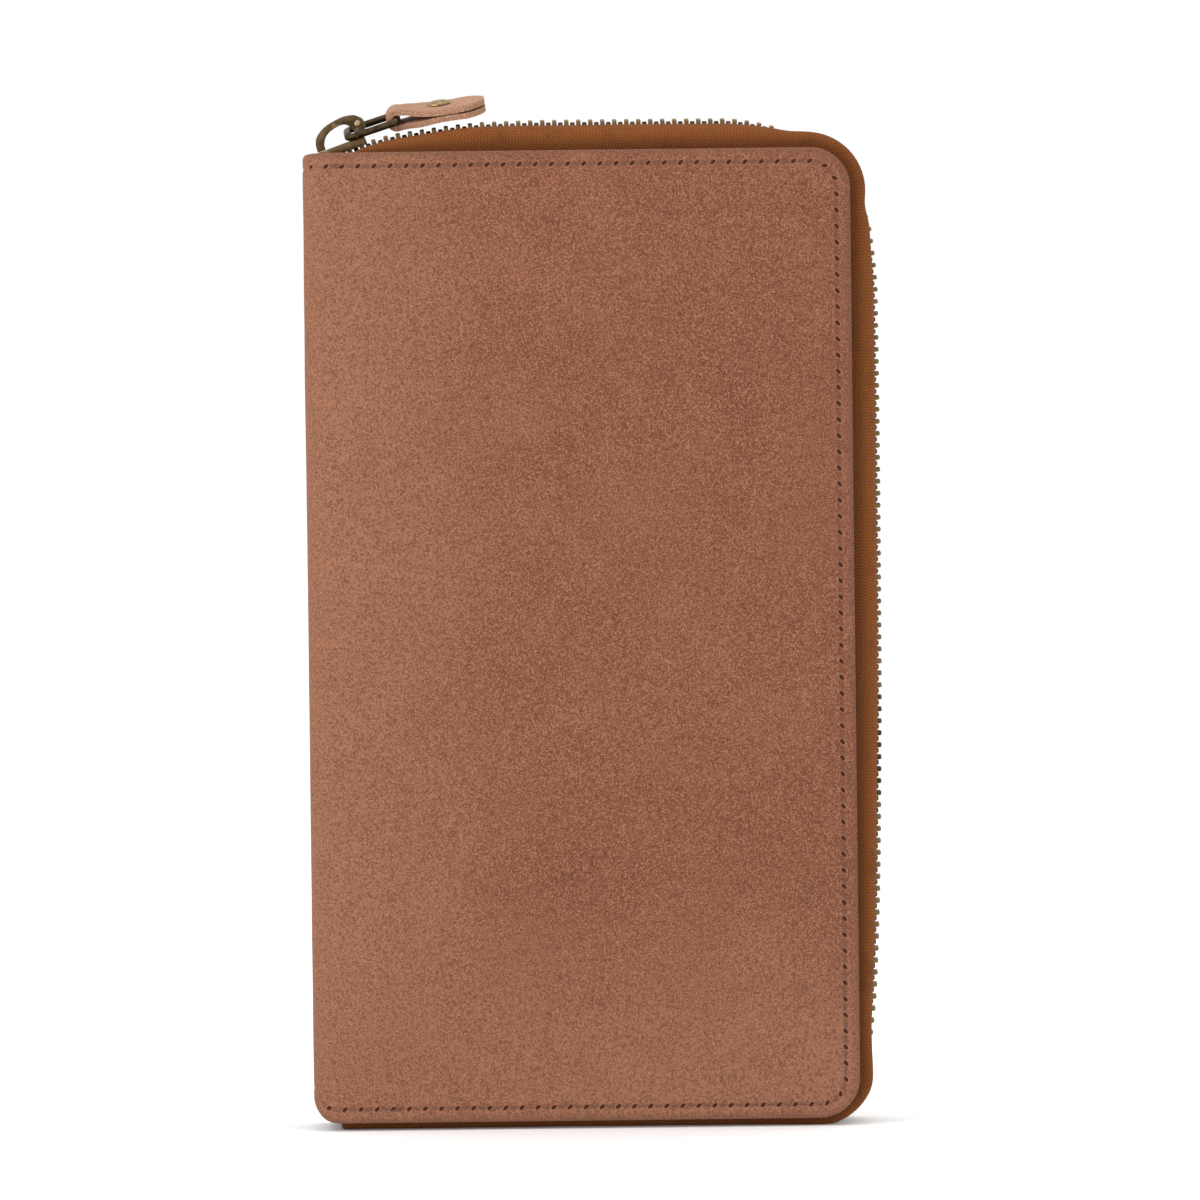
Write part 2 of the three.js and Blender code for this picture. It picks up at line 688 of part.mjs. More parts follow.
function addFrontPockets() {
  const slip = roundedRect(POCKET_LEFT, BOTTOM_Z + 7, POCKET_RIGHT, TOP_Z - 11, [0, 3, 0, 0]);
  add("front_slip_pocket", plate(slip, ...layerY(-1, PANEL)), "leather");
  for (let tier = 0; tier < CARD_TIERS; tier++) {
    const top = TOP_Z - 19 - CARD_STEP * tier;
    const out = PANEL[1] + LAYER_GAP + tier * (CARD_PANEL_T + LAYER_GAP);
    const shape = roundedRect(
      POCKET_LEFT + 1,
      top - CARD_DEPTH,
      POCKET_RIGHT - 1,
      top,
      [0, 0, 1.5, 1.5],
    );
    const y = layerY(-1, [out, out + CARD_PANEL_T]);
    add(`card_pocket_${tier + 1}`, plate(shape, ...y, 3), "leather");
  }
}

// The coin zip lies across the back cover's pocket, on a shallow gusset.
const COIN_Z = TOP_Z - 52;
const COIN_SLOT = 5.5; // half of the opening between the two panels
const COIN_DEPTH = 96;
const COIN_GUSSET_T = 1.5;
const COIN_PITCH = 2.2;
const COIN_TOOTH_T = 1.5;
const COIN_HALF = 2.5;
const COIN_OUT = PANEL[1] + LAYER_GAP + COIN_GUSSET_T;
const COIN_LAYER = [COIN_OUT, COIN_OUT + PANEL_T];
const COIN_CHAIN_Y = FACE_Y - COIN_OUT - PANEL_T / 2;
const COIN_SLIDER_X = POCKET_LEFT + 12;

function addBackPockets() {
  const note = roundedRect(POCKET_LEFT, BOTTOM_Z + 7, POCKET_RIGHT, TOP_Z - 11, [0, 3, 0, 0]);
  add("note_pocket", plate(note, ...layerY(1, PANEL)), "leather");

  const [left, right] = [POCKET_LEFT + 1, POCKET_RIGHT - 1];
  const [low, high] = [COIN_Z - COIN_DEPTH, COIN_Z + 17];
  const square = [0, 0, 0, 0];
  const gusset = roundedRect(left, low, right, high, square);
  gusset.holes.push(roundedRect(left + 3, low + 3, right - 3, high - 3, square));
  const gussetY = layerY(1, [PANEL[1] + LAYER_GAP / 2, COIN_OUT - LAYER_GAP / 2]);
  add("coin_pocket_gusset", plate(gusset, ...gussetY), "lining");
  const panelY = layerY(1, COIN_LAYER);
  const lower = roundedRect(left, low, right, COIN_Z - COIN_SLOT, square);
  const upper = roundedRect(left, COIN_Z + COIN_SLOT, right, high, square);
  add("coin_pocket_lower", plate(lower, ...panelY), "leather");
  add("coin_pocket_upper", plate(upper, ...panelY), "leather");
  addCoinZip();
}

function addCoinZip() {
  const [left, right] = [POCKET_LEFT + 6, POCKET_RIGHT - 6];
  const y = COIN_CHAIN_Y;
  for (const [name, side] of [
    ["upper", 1],
    ["lower", -1],
  ]) {
    const [z0, z1] = [
      COIN_Z + side * (COIN_HALF + 0.3),
      COIN_Z + side * (COIN_SLOT - 0.3),
    ].sort((a, b) => a - b);
    add(`coin_tape_${name}`, block(left, right, y - 0.25, y + 0.25, z0, z1), "tape");
    const teeth = teethRow({
      first: COIN_SLIDER_X - 0.4 + (side > 0 ? COIN_PITCH / 2 : 0),
      count: Math.floor((right - COIN_SLIDER_X - 3) / COIN_PITCH),
      pitch: COIN_PITCH,
      width: 0.75,
      thick: COIN_TOOTH_T,
      tip: 0.7,
      neck: 1.5,
      half: COIN_HALF,
      side: -side,
      place: (s, a, n) => new THREE.Vector3(s, y + n, COIN_Z - a),
    });
    add(`coin_teeth_${name}`, teeth, "brass");
  }
  const stop = (x) => block(x - 0.8, x + 0.8, y - 0.6, y + 0.6, COIN_Z - 2.2, COIN_Z + 2.2);
  add("coin_stop_left", stop(COIN_SLIDER_X - 5.2), "brass");
  add("coin_stop_right", stop(right - 1.6), "brass");

  // The small slider's own frame: X along the zip, Z out towards the other cover.
  const slider = new THREE.Group();
  slider.name = "coin_slider_frame";
  slider.position.set(COIN_SLIDER_X, y, COIN_Z);
  slider.rotation.x = Math.PI / 2;
  wallet.add(slider);
  const channel = COIN_TOOTH_T / 2 + 0.15;
  const body = sliderBody({
    halfL: 3.9,
    halfW: 3.1,
    plateT: 0.5,
    channel,
    slot: 0.45,
    wallT: 0.35,
    postHalf: 0.6,
  });
  add("coin_slider_body", body, "brass", slider);
  const plateTop = channel + 0.5;
  const crown = plate(crownShape(0.55), -0.7, 0.7, 3).translate(0, 0, plateTop + 0.1);
  add("coin_slider_crown", crown, "brass", slider);

  // A drop-shaped metal puller with an eye, lying back along the closed zip.
  const eye = { x: 1.0, z: plateTop + 0.85 };
  const pull = new THREE.Group();
  pull.name = "coin_pull_frame";
  pull.position.set(eye.x, 0, eye.z);
  slider.add(pull);
  const drop = new THREE.Shape()
    .moveTo(-0.6, -1.7)
    .lineTo(4, -1.3)
    .bezierCurveTo(9, -1.6, 14.5, -3.6, 17.5, -2.4)
    .bezierCurveTo(19, -1.6, 19, 1.6, 17.5, 2.4)
    .bezierCurveTo(14.5, 3.6, 9, 1.6, 4, 1.3)
    .lineTo(-0.6, 1.7);
  drop.holes.push(roundedRect(0.45, -0.95, 4.3, 0.95, [0.3, 0.3, 0.3, 0.3]));
  add("coin_pull", prism(drop, -0.35, 0.35, 6), "brass", pull);
}

addCover("front", -1);
addCover("back", 1);
addSpine();
addSlider();
addBottomStop();
addFrontPockets();
addBackPockets();

export default wallet;
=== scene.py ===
"""The looks of a leather zip-around wallet, built round its CAD frame. Metres, +X spine to opening edge, +Z up."""

import json
import logging
import math
from collections.abc import Callable, Iterable
from dataclasses import dataclass, field
from enum import Enum

import bpy
from mathutils import Matrix, Vector, noise


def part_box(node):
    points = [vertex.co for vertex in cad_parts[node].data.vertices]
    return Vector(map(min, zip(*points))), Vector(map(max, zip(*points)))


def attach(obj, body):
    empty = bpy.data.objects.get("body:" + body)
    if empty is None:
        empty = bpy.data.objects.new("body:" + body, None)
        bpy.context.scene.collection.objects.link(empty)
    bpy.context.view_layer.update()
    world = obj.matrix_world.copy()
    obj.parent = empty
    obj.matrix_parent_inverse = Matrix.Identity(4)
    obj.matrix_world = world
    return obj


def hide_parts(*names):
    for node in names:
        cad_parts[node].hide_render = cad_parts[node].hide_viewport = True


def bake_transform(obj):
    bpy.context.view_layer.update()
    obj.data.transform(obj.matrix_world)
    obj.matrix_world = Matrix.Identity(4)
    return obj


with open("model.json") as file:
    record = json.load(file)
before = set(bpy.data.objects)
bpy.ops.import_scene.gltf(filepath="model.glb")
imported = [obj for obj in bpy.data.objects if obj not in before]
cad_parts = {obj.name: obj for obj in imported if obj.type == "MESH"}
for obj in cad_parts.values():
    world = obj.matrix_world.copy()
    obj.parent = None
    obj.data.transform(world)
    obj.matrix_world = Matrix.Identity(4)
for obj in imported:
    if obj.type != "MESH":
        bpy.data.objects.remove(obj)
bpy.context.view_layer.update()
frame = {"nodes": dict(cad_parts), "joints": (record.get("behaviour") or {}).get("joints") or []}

MM = 0.001
LOG = logging.getLogger("wallet")


# ---------------------------------------------------------------- shader maths
class Link:
    """A shader socket that adds Math nodes when it is used in an expression."""

    def __init__(self, shader: "Shader", socket: bpy.types.NodeSocket) -> None:
        """Wraps a socket.

        Args:
            shader: The shader whose tree holds the socket.
            socket: The output socket.
        """
        self.shader = shader
        self.socket = socket

    def _math(self, operation: str, *values: "Link | float") -> "Link":
        """Adds one Math node on these values."""
        return self.shader.node("ShaderNodeMath", {"operation": operation}, *values)

    def __add__(self, other: "Link | float") -> "Link":
        """This plus other."""
        return self._math("ADD", self, other)

    def __sub__(self, other: "Link | float") -> "Link":
        """This minus other."""
        return self._math("SUBTRACT", self, other)

    def __mul__(self, other: "Link | float") -> "Link":
        """This times other."""
        return self._math("MULTIPLY", self, other)

    def __truediv__(self, other: "Link | float") -> "Link":
        """This over other."""
        return self._math("DIVIDE", self, other)

    def __rsub__(self, other: float) -> "Link":
        """Other minus this."""
        return self._math("SUBTRACT", other, self)

    __radd__ = __add__
    __rmul__ = __mul__

    def clamped(self) -> "Link":
        """This, held between 0 and 1."""
        return self.shader.node("ShaderNodeClamp", {}, self)

    def fract(self) -> "Link":
        """What this has past a whole number."""
        return self._math("FRACT", self)

    def size(self) -> "Link":
        """This without its sign."""
        return self._math("ABSOLUTE", self)

    def sine(self) -> "Link":
        """The sine of this."""
        return self._math("SINE", self)

    def root(self) -> "Link":
        """The square root of this."""
        return self._math("SQRT", self)

    def ramp(self, low: float, high: float) -> "Link":
        """0 where this is at low and 1 where it is at high, with a smooth turn between.

        Args:
            low: The value that gives 0.
            high: The value that gives 1, which may be the lesser.

        Returns:
            The share, from 0 to 1.
        """
        settings = {"interpolation_type": "SMOOTHSTEP"}
        if low < high:
            return self.shader.node("ShaderNodeMapRange", settings, self, low, high)
        return 1 - self.shader.node("ShaderNodeMapRange", settings, self, high, low)


class Shader:
    """One material's node tree, with a Principled BSDF that takes what is worked out."""

    def __init__(self, name: str) -> None:
        """Starts a material.

        Args:
            name: The material's name.
        """
        self.material = bpy.data.materials.new(name)
        self.material.use_nodes = True
        self.tree = self.material.node_tree
        self.surface = self.tree.nodes["Principled BSDF"]

    def node(self, kind: str, settings: dict, *values: object, out: str | int = 0, **named: object) -> Link:
        """Adds any node.

        Args:
            kind: The node's type.
            settings: The node's own properties.
            values: Values or links of its inputs, in order. None leaves one as it is.
            out: The output that is wanted.
            named: Values or links of inputs by name, with _ for a space.

        Returns:
            The output.
        """
        node = self.tree.nodes.new(kind)
        for key, value in settings.items():
            setattr(node, key, value)
        pairs = list(zip(node.inputs, values))
        pairs += [(node.inputs[key.replace("_", " ")], value) for key, value in named.items()]
        for socket, value in pairs:
            self.feed(socket, value)
        return Link(self, node.outputs[out])

    def feed(self, socket: bpy.types.NodeSocket, value: object) -> None:
        """Links a Link to an input, or sets a plain value on it.

        Args:
            socket: The input.
            value: A Link, a number, a colour or None for no change.
        """
        if isinstance(value, Link):
            self.tree.links.new(value.socket, socket)
        elif value is not None:
            is_colour = socket.type == "RGBA" and len(value) == 3
            socket.default_value = (*value, 1) if is_colour else value

    def place(self) -> Link:
        """Object coordinates, in metres."""
        return self.node("ShaderNodeTexCoord", {}, out="Object")

    def attribute(self, name: str) -> Link:
        """A number that the mesh carries under this name."""
        return self.node("ShaderNodeAttribute", {"attribute_name": name}, out="Fac")

    def noise(self, scale: float, detail: float = 3, rough: float = 0.5, at: Link | None = None) -> Link:
        """Cloudy noise from 0 to 1.

        Args:
            scale: Blobs to the metre.
            detail: How many finer layers.
            rough: How strong the finer layers are.
            at: Where it is read, which is the object's coordinates unless given.

        Returns:
            The noise.
        """
        values = {"Vector": at or self.place(), "Scale": scale, "Detail": detail, "Roughness": rough}
        return self.node("ShaderNodeTexNoise", {}, **values)

    def grain(self, scale: float, at: Link | None = None) -> Link:
        """Distance to the nearest of scattered points, for pores and pebbles."""
        values = {"Vector": at or self.place(), "Scale": scale}
        return self.node("ShaderNodeTexVoronoi", {}, **values)

    def mix(self, share: "Link | float", a: object, b: object) -> Link:
        """A colour between a, where share is 0, and b, where it is 1."""
        node = self.tree.nodes.new("ShaderNodeMix")
        node.data_type = "RGBA"
        for socket, value in zip((node.inputs[0], node.inputs[6], node.inputs[7]), (share, a, b)):
            self.feed(socket, value)
        return Link(self, node.outputs[2])

    def axes(self) -> tuple[Link, Link, Link]:
        """The object's X, Y and Z."""
        place = self.place()
        node = self.node("ShaderNodeSeparateXYZ", {}, place).socket.node
        return tuple(Link(self, socket) for socket in node.outputs)

    def finish(
        self,
        colour: Link,
        rough: "Link | float",
        height: Link | None = None,
        depth: float = 0.1 * MM,
        **constants: float,
    ) -> bpy.types.Material:
        """Feeds the surface.

        Args:
            colour: The base colour.
            rough: The roughness.
            height: What the bump reads.
            depth: How deep a height of 1 is, in metres.
            constants: Plain values of other inputs, by name, with _ for a space.

        Returns:
            The finished material.
        """
        self.feed(self.surface.inputs["Base Color"], colour)
        self.feed(self.surface.inputs["Roughness"], rough)
        if height is not None:
            bump = self.node("ShaderNodeBump", {}, Strength=1.0, Distance=depth, Height=height, out="Normal")
            self.feed(self.surface.inputs["Normal"], bump)
        for name, value in constants.items():
            self.feed(self.surface.inputs[name.replace("_", " ")], value)
        return self.material


Colour = tuple[float, float, float]


def from_screen(red: int, green: int, blue: int) -> Colour:
    """A colour given as it looks on a screen, 0 to 255, as linear light."""

    def linear(value: int) -> float:
        """One channel."""
        share = value / 255
        return share / 12.92 if share <= 0.04045 else ((share + 0.055) / 1.055) ** 2.4

    return linear(red), linear(green), linear(blue)


# ---------------------------------------------------------------- finishes
@dataclass(frozen=True)
class Nubuck:
    """Oiled nubuck leather: cloudy tone, fine nap, faint scratches, darker, cooler burnished edges, painted light
    towards the spine and the lower edge, and painted shade and highlights at the stitches.
    """

    name: str
    base: Colour = from_screen(122, 71, 49)
    light: Colour = from_screen(166, 117, 90)
    dark: Colour = from_screen(88, 47, 30)
    # The paler colour painted where the light falls brightest, towards the spine and the lower edge.
    handled: Colour = from_screen(148, 101, 77)
    burnish: Colour = from_screen(104, 72, 58)
    # The hole colour is painted shade inside the stitch holes.
    hole: Colour = from_screen(52, 18, 8)
    rough: float = 0.74
    # How strongly that painted light is laid on.
    rubbing: float = 0.8
    edge_attribute: bool = True
    stitch_pitch: float = 3.2 * MM
    stitch_inset: float = 2.75 * MM

    def material(self) -> bpy.types.Material:
        """Builds the material.

        Returns:
            The material.
        """
        s = Shader(self.name)
        cloud = s.noise(28, 4, 0.6)
        patch = s.noise(95, 5, 0.62)
        nap = s.noise(2300, 3, 0.7)
        speck = s.noise(3900, 2, 0.6)
        tone = cloud * 0.55 + patch * 0.45
        x, y, z = s.axes()
        colour = s.mix(tone.ramp(0.26, 0.56) * 0.45 + 0.55, self.dark, self.base)
        colour = s.mix(tone.ramp(0.48, 0.78) * 0.35, colour, self.light)
        # Painted light: the leather is painted paler towards the spine and the lower edge, where the light falls
        # brighter on it.
        beside, below = x.ramp(-10 * MM, -56 * MM), z.ramp(58 * MM, 4 * MM)
        painted_light_mask = (beside + below - beside * below) * (tone * 0.8 + 0.55)
        colour = s.mix(painted_light_mask.clamped() * self.rubbing, colour, self.handled)
        colour = s.mix(nap.ramp(0.42, 0.6) * 0.68, colour, self.dark)
        colour = s.mix(speck.ramp(0.48, 0.62) * 0.68, colour, self.light)
        streak_at = s.node("ShaderNodeCombineXYZ", {}, x * 3 + z * 0.4, y, z * 0.35 - x * 0.2)
        streak = s.noise(420, 2, 0.5, at=streak_at).ramp(0.66, 0.72)
        gate = s.noise(60, 1, 0.5).ramp(0.52, 0.66)
        colour = s.mix(streak * gate * 0.3, colour, self.light)
        height = nap * 0.5 + speck * 0.3 + patch * 0.8 + (1 - s.grain(1100)) * 0.25
        if not self.edge_attribute:
            return s.finish(colour, patch * 0.12 + (self.rough - 0.06), height, 0.09 * MM, Specular_IOR_Level=0.22)
        inset = s.attribute("edge_inset")
        wander = inset + (patch - 0.5) * (1.6 * MM)
        colour = s.mix(wander.ramp(2.0 * MM, 0.2 * MM) * 0.4, colour, self.burnish)
        run = s.attribute("seam_run") / self.stitch_pitch
        along = (run.fract() - 0.5) * self.stitch_pitch
        across = inset - self.stitch_inset
        # Each hole is a slit that leans over the seam's direction.
        lean = along + across * 0.55
        reach = ((lean / (0.4 * MM)) * (lean / (0.4 * MM)) + (across / (0.42 * MM)) * (across / (0.42 * MM))).root()
        hole_and_shade = reach.ramp(1.15, 0.75)
        lip_and_highlight = reach.ramp(2.6, 1.3) * (1 - hole_and_shade)
        # Painted highlight: the raised lip round each hole is painted paler.
        colour = s.mix(lip_and_highlight * 0.28, colour, self.light)
        # Painted shade: the stitch holes are painted near black, as shade falls in them.
        colour = s.mix(hole_and_shade, colour, self.hole)
        furrow_and_shade = (across.size()).ramp(0.75 * MM, 0.1 * MM)
        # Painted shade: the sunk stitch furrow is painted darker.
        colour = s.mix(furrow_and_shade * 0.22, colour, self.dark)
        height = height + lip_and_highlight * 0.7 - hole_and_shade * 5 - furrow_and_shade * 1.2
        return s.finish(colour, patch * 0.12 + (self.rough - 0.06), height, 0.09 * MM, Specular_IOR_Level=0.22)


@dataclass(frozen=True)
class Herringbone:
    """Woven zip tape: slanted ribs that turn over from band to band, read from the tape's own run and width, with
    painted shade beside the cover and under the teeth.
    """

    name: str = "zip_tape_weave"
    base: Colour = from_screen(130, 72, 30)
    light: Colour = from_screen(180, 114, 52)
    dark: Colour = from_screen(66, 32, 14)
    rib: float = 0.62 * MM
    band: float = 1.9 * MM

    def material(self) -> bpy.types.Material:
        """Builds the material.

        Returns:
            The material.
        """
        s = Shader(self.name)
        run = s.attribute("tape_run")
        width = s.attribute("tape_width")
        zigzag = ((width / self.band).fract() - 0.5).size() * self.band
        ribs = ((run + zigzag * 1.1) / self.rib * math.tau).sine() * 0.5 + 0.5
        threads = (width / (0.42 * MM) * math.tau).sine() * 0.5 + 0.5
        fuzz = s.noise(2600, 2, 0.6)
        wear = s.noise(160, 4, 0.6)
        weave = ribs * 0.62 + threads * 0.2 + fuzz * 0.3
        colour = s.mix(weave.ramp(0.12, 0.7), self.dark, self.base)
        colour = s.mix(weave.ramp(0.62, 1.0) * 0.7, colour, self.light)
        colour = s.mix(wear.ramp(0.5, 0.75) * 0.35, colour, self.dark)
        # Painted shade: the tape is painted darker beside the cover and under the teeth.
        seam = s.attribute("tape_shade")
        colour = s.mix(seam * 0.55, colour, self.dark)
        return s.finish(colour, 0.86, weave + fuzz * 0.3, 0.12 * MM, Specular_IOR_Level=0.15)


@dataclass(frozen=True)
class AgedBrass:
    """Antique brass: a dark patina, rubbed bright on the raised edges, with wear and a painted highlight where a mesh
    marks its tips, and fine scratches.
    """

    name: str
    dark: Colour = from_screen(50, 41, 32)
    mid: Colour = from_screen(72, 58, 43)
    bright: Colour = from_screen(164, 136, 98)
    wear: float = 0.42
    rough: float = 0.38

    def material(self) -> bpy.types.Material:
        """Builds the material.

        Returns:
            The material.
        """
        s = Shader(self.name)
        patina = s.noise(700, 4, 0.6)
        fine = s.noise(4200, 2, 0.6)
        x, y, z = s.axes()
        scratch_at = s.node("ShaderNodeCombineXYZ", {}, x * 6, y, z)
        scratch = s.noise(1800, 2, 0.5, at=scratch_at).ramp(0.6, 0.7)
        raised = s.node("ShaderNodeNewGeometry", {}, out="Pointiness").ramp(0.5, 0.58)
        # The rubbed attribute marks tooth tops that are both worn and given a painted highlight.
        rubbed = s.attribute("rubbed")
        shine = (raised * 0.8 + rubbed * 0.8 + (patina - 0.5) * 0.3).clamped() * self.wear
        colour = s.mix(patina.ramp(0.35, 0.65), self.dark, self.mid)
        colour = s.mix((shine * 1.4).clamped(), colour, self.bright)
        colour = s.mix(scratch * 0.2, colour, self.bright)
        rough = self.rough + fine * 0.14 - shine * 0.12
        return s.finish(colour, rough, fine * 0.5 + scratch * 0.4, 0.02 * MM, Metallic=1.0)


@dataclass(frozen=True)
class Cloth:
    """A plain weave, for linings and edge binding."""

    name: str
    base: Colour
    dark: Colour
    thread: float = 0.5 * MM

    def material(self) -> bpy.types.Material:
        """Builds the material.

        Returns:
            The material.
        """
        s = Shader(self.name)
        x, y, z = s.axes()
        warp = ((x + y) / self.thread * math.tau).sine()
        weft = (z / self.thread * math.tau).sine()
        weave = warp * weft * 0.5 + 0.5
        fuzz = s.noise(1900, 3, 0.6)
        wear = s.noise(70, 4, 0.6)
        colour = s.mix((weave * 0.6 + fuzz * 0.5).ramp(0.2, 0.9), self.dark, self.base)
        colour = s.mix(wear.ramp(0.5, 0.8) * 0.3, colour, self.dark)
        return s.finish(colour, 0.85, weave + fuzz * 0.4, 0.06 * MM, Sheen_Weight=0.2)


@dataclass(frozen=True)
class Thread:
    """Waxed sewing thread of two twisted plies."""

    name: str = "waxed_thread"
    base: Colour = from_screen(122, 77, 57)
    dark: Colour = from_screen(88, 52, 39)

    def material(self) -> bpy.types.Material:
        """Builds the material.

        Returns:
            The material.
        """
        s = Shader(self.name)
        x, y, z = s.axes()
        twist = ((x + z + y * 1.4) / (0.42 * MM) * math.tau).sine() * 0.5 + 0.5
        fuzz = s.noise(3500, 2, 0.6)
        colour = s.mix(twist * 0.6 + fuzz * 0.4, self.dark, self.base)
        return s.finish(colour, 0.62, twist + fuzz * 0.3, 0.05 * MM)


@dataclass(frozen=True)
class PaperBoard:
    """Grey-brown fibre board."""

    name: str = "fibre_board"
    base: Colour = from_screen(150, 130, 104)
    dark: Colour = from_screen(110, 92, 72)

    def material(self) -> bpy.types.Material:
        """Builds the material.

        Returns:
            The material.
        """
        s = Shader(self.name)
        fibre = s.noise(900, 5, 0.7)
        colour = s.mix(fibre.ramp(0.3, 0.7), self.dark, self.base)
        return s.finish(colour, 0.92, fibre, 0.05 * MM)


# ---------------------------------------------------------------- modelling
Place = Callable[[float, float], Vector]


def clear_selection() -> None:
    """Leaves edit mode and selects nothing."""
    if bpy.context.object and bpy.context.object.mode != "OBJECT":
        bpy.ops.object.mode_set(mode="OBJECT")
    bpy.ops.object.select_all(action="DESELECT")


def activate(piece: bpy.types.Object) -> None:
    """Makes this the one selected and active object."""
    clear_selection()
    piece.select_set(True)
    bpy.context.view_layer.objects.active = piece


def select_faces(piece: bpy.types.Object, wanted: Callable[[bpy.types.MeshPolygon], bool]) -> None:
    """Selects some faces and goes to edit mode.

    Args:
        piece: The mesh object.
        wanted: Says whether a face is selected.
    """
    activate(piece)
    mesh = piece.data
    chosen = [bool(wanted(face)) for face in mesh.polygons]
    mesh.vertices.foreach_set("select", [False] * len(mesh.vertices))
    mesh.edges.foreach_set("select", [False] * len(mesh.edges))
    mesh.polygons.foreach_set("select", chosen)
    bpy.ops.object.mode_set(mode="EDIT")
    bpy.ops.mesh.select_mode(type="FACE")


def lay_grid(name: str, columns: list[float], rows: list[float], place: Place) -> bpy.types.Object:
    """Adds a grid and lays it on a surface.

    Args:
        name: The piece's name.
        columns: The first measure at each column of points.
        rows: The second measure at each row of points.
        place: Gives the point for a pair of measures.

    Returns:
        The piece, an open sheet.
    """
    clear_selection()
    across, up = len(columns) - 1, len(rows) - 1
    bpy.ops.mesh.primitive_grid_add(x_subdivisions=across, y_subdivisions=up, size=1)
    piece = bpy.context.object
    piece.name = piece.data.name = name
    for vertex in piece.data.vertices:
        i = round((vertex.co.x + 0.5) * across)
        j = round((vertex.co.y + 0.5) * up)
        vertex.co = place(columns[i], rows[j])
    while piece.data.uv_layers:
        piece.data.uv_layers.remove(piece.data.uv_layers[0])
    return piece


def carry(piece: bpy.types.Object, name: str, columns: list[float], rows: list[float], value: Callable) -> None:
    """Gives each point of a laid grid a number that a material can read.

    Args:
        piece: A piece from lay_grid that has had nothing added to it.
        name: The attribute's name.
        columns: The columns it was laid with.
        rows: The rows it was laid with.
        value: Gives the number for a pair of measures.
    """
    attribute = piece.data.attributes.new(name, "FLOAT", "POINT")
    count = len(columns)
    values = [value(columns[k % count], rows[k // count]) for k in range(len(piece.data.vertices))]
    attribute.data.foreach_set("value", values)


def apply_modifier(piece: bpy.types.Object, kind: str, **settings: object) -> None:
    """Adds a modifier and applies it.

    Args:
        piece: The mesh object.
        kind: The modifier's type.
        settings: Its properties.
    """
    activate(piece)
    modifier = piece.modifiers.new(kind.title(), kind)
    for key, value in settings.items():
        setattr(modifier, key, value)
    bpy.ops.object.modifier_apply(modifier=modifier.name)


def face_outwards(piece: bpy.types.Object) -> None:
    """Merges a closed shell's doubles and turns its faces out."""
    activate(piece)
    bpy.ops.object.mode_set(mode="EDIT")
    bpy.ops.mesh.select_all(action="SELECT")
    bpy.ops.mesh.remove_doubles(threshold=0.002 * MM)
    bpy.ops.mesh.normals_make_consistent(inside=False)
    bpy.ops.object.mode_set(mode="OBJECT")


def smooth(piece: bpy.types.Object, degrees: float = 40) -> None:
    """Shades smooth, apart from edges sharper than this."""
    activate(piece)
    bpy.ops.object.shade_smooth_by_angle(angle=math.radians(degrees))


def settle(piece: bpy.types.Object) -> None:
    """Moves the object's place into its mesh."""
    activate(piece)
    bpy.ops.object.transform_apply(location=True, rotation=True, scale=True)


def dress(piece: bpy.types.Object, material: bpy.types.Material) -> None:
    """Gives a piece one material."""
    piece.data.materials.clear()
    piece.data.materials.append(material)


def stamp(master: bpy.types.Object, places: Iterable[Matrix], name: str) -> bpy.types.Object:
    """Copies a small piece to many places, as one mesh.

    Args:
        master: The piece, made at the origin. It is used up.
        places: Where each copy goes.
        name: The joined piece's name.

    Returns:
        The joined piece.
    """
    clear_selection()
    copies = []
    for place in places:
        copy = bpy.data.objects.new(name, master.data.copy())
        copy.data.transform(place)
        bpy.context.scene.collection.objects.link(copy)
        copies.append(copy)
    for copy in copies:
        copy.select_set(True)
    bpy.context.view_layer.objects.active = copies[0]
    bpy.ops.object.join()
    piece = bpy.context.object
    piece.name = piece.data.name = name
    bpy.data.objects.remove(master)
    return piece


def from_frame(node: str, name: str, bevel: float, rounds: int = 0) -> bpy.types.Object:
    """Copies a CAD node and gives its edges the small radius that a made thing has.

    Args:
        node: The CAD node.
        name: The new piece's name.
        bevel: The edge radius, in metres, or 0.
        rounds: Levels of subdivision.

    Returns:
        The piece, which replaces the node.
    """
    source = frame["nodes"][node]
    piece = bpy.data.objects.new(name, source.data.copy())
    bpy.context.scene.collection.objects.link(piece)
    activate(piece)
    piece.data.name = name
    bpy.ops.object.mode_set(mode="EDIT")
    bpy.ops.mesh.select_all(action="SELECT")
    bpy.ops.mesh.remove_doubles(threshold=0.003 * MM)
    if rounds:
        bpy.ops.mesh.tris_convert_to_quads(face_threshold=math.radians(60), shape_threshold=math.radians(60))
    else:
        bpy.ops.mesh.dissolve_limited(angle_limit=math.radians(1))
    bpy.ops.object.mode_set(mode="OBJECT")
    if bevel:
        apply_modifier(piece, "BEVEL", width=bevel, segments=2, limit_method="ANGLE", angle_limit=math.radians(32))
    if rounds:
        apply_modifier(piece, "SUBSURF", levels=rounds, render_levels=rounds)
    smooth(piece)
    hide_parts(node)
    return piece


def spread(start: float, end: float, step: float) -> list[float]:
    """Even measures from start up to but not at end, no further apart than step."""
    count = max(1, math.ceil(abs(end - start) / step))
    return [start + (end - start) * k / count for k in range(count)]


def bump(value: float, centre: float, reach: float) -> float:
    """A smooth hump of height 1."""
    return math.exp(-(((value - centre) / reach) ** 2))


def cloud(x: float, z: float, scale: float, seed: float) -> float:
    """Smooth noise from about -1 to 1 at a place, with blobs of this scale in metres."""
    return noise.noise(Vector((x / scale, z / scale, seed)))


# ---------------------------------------------------------------- places taken from the frame
class Side(Enum):
    """The two covers, with the sign of Y that they stand on."""

    FRONT = -1
    BACK = 1

    @property
    def word(self) -> str:
        """The word that names this cover's nodes."""
        return self.name.lower()

    @property
    def body(self) -> str:
        """The body that this cover's nodes move with."""
        return f"{self.word}_cover"


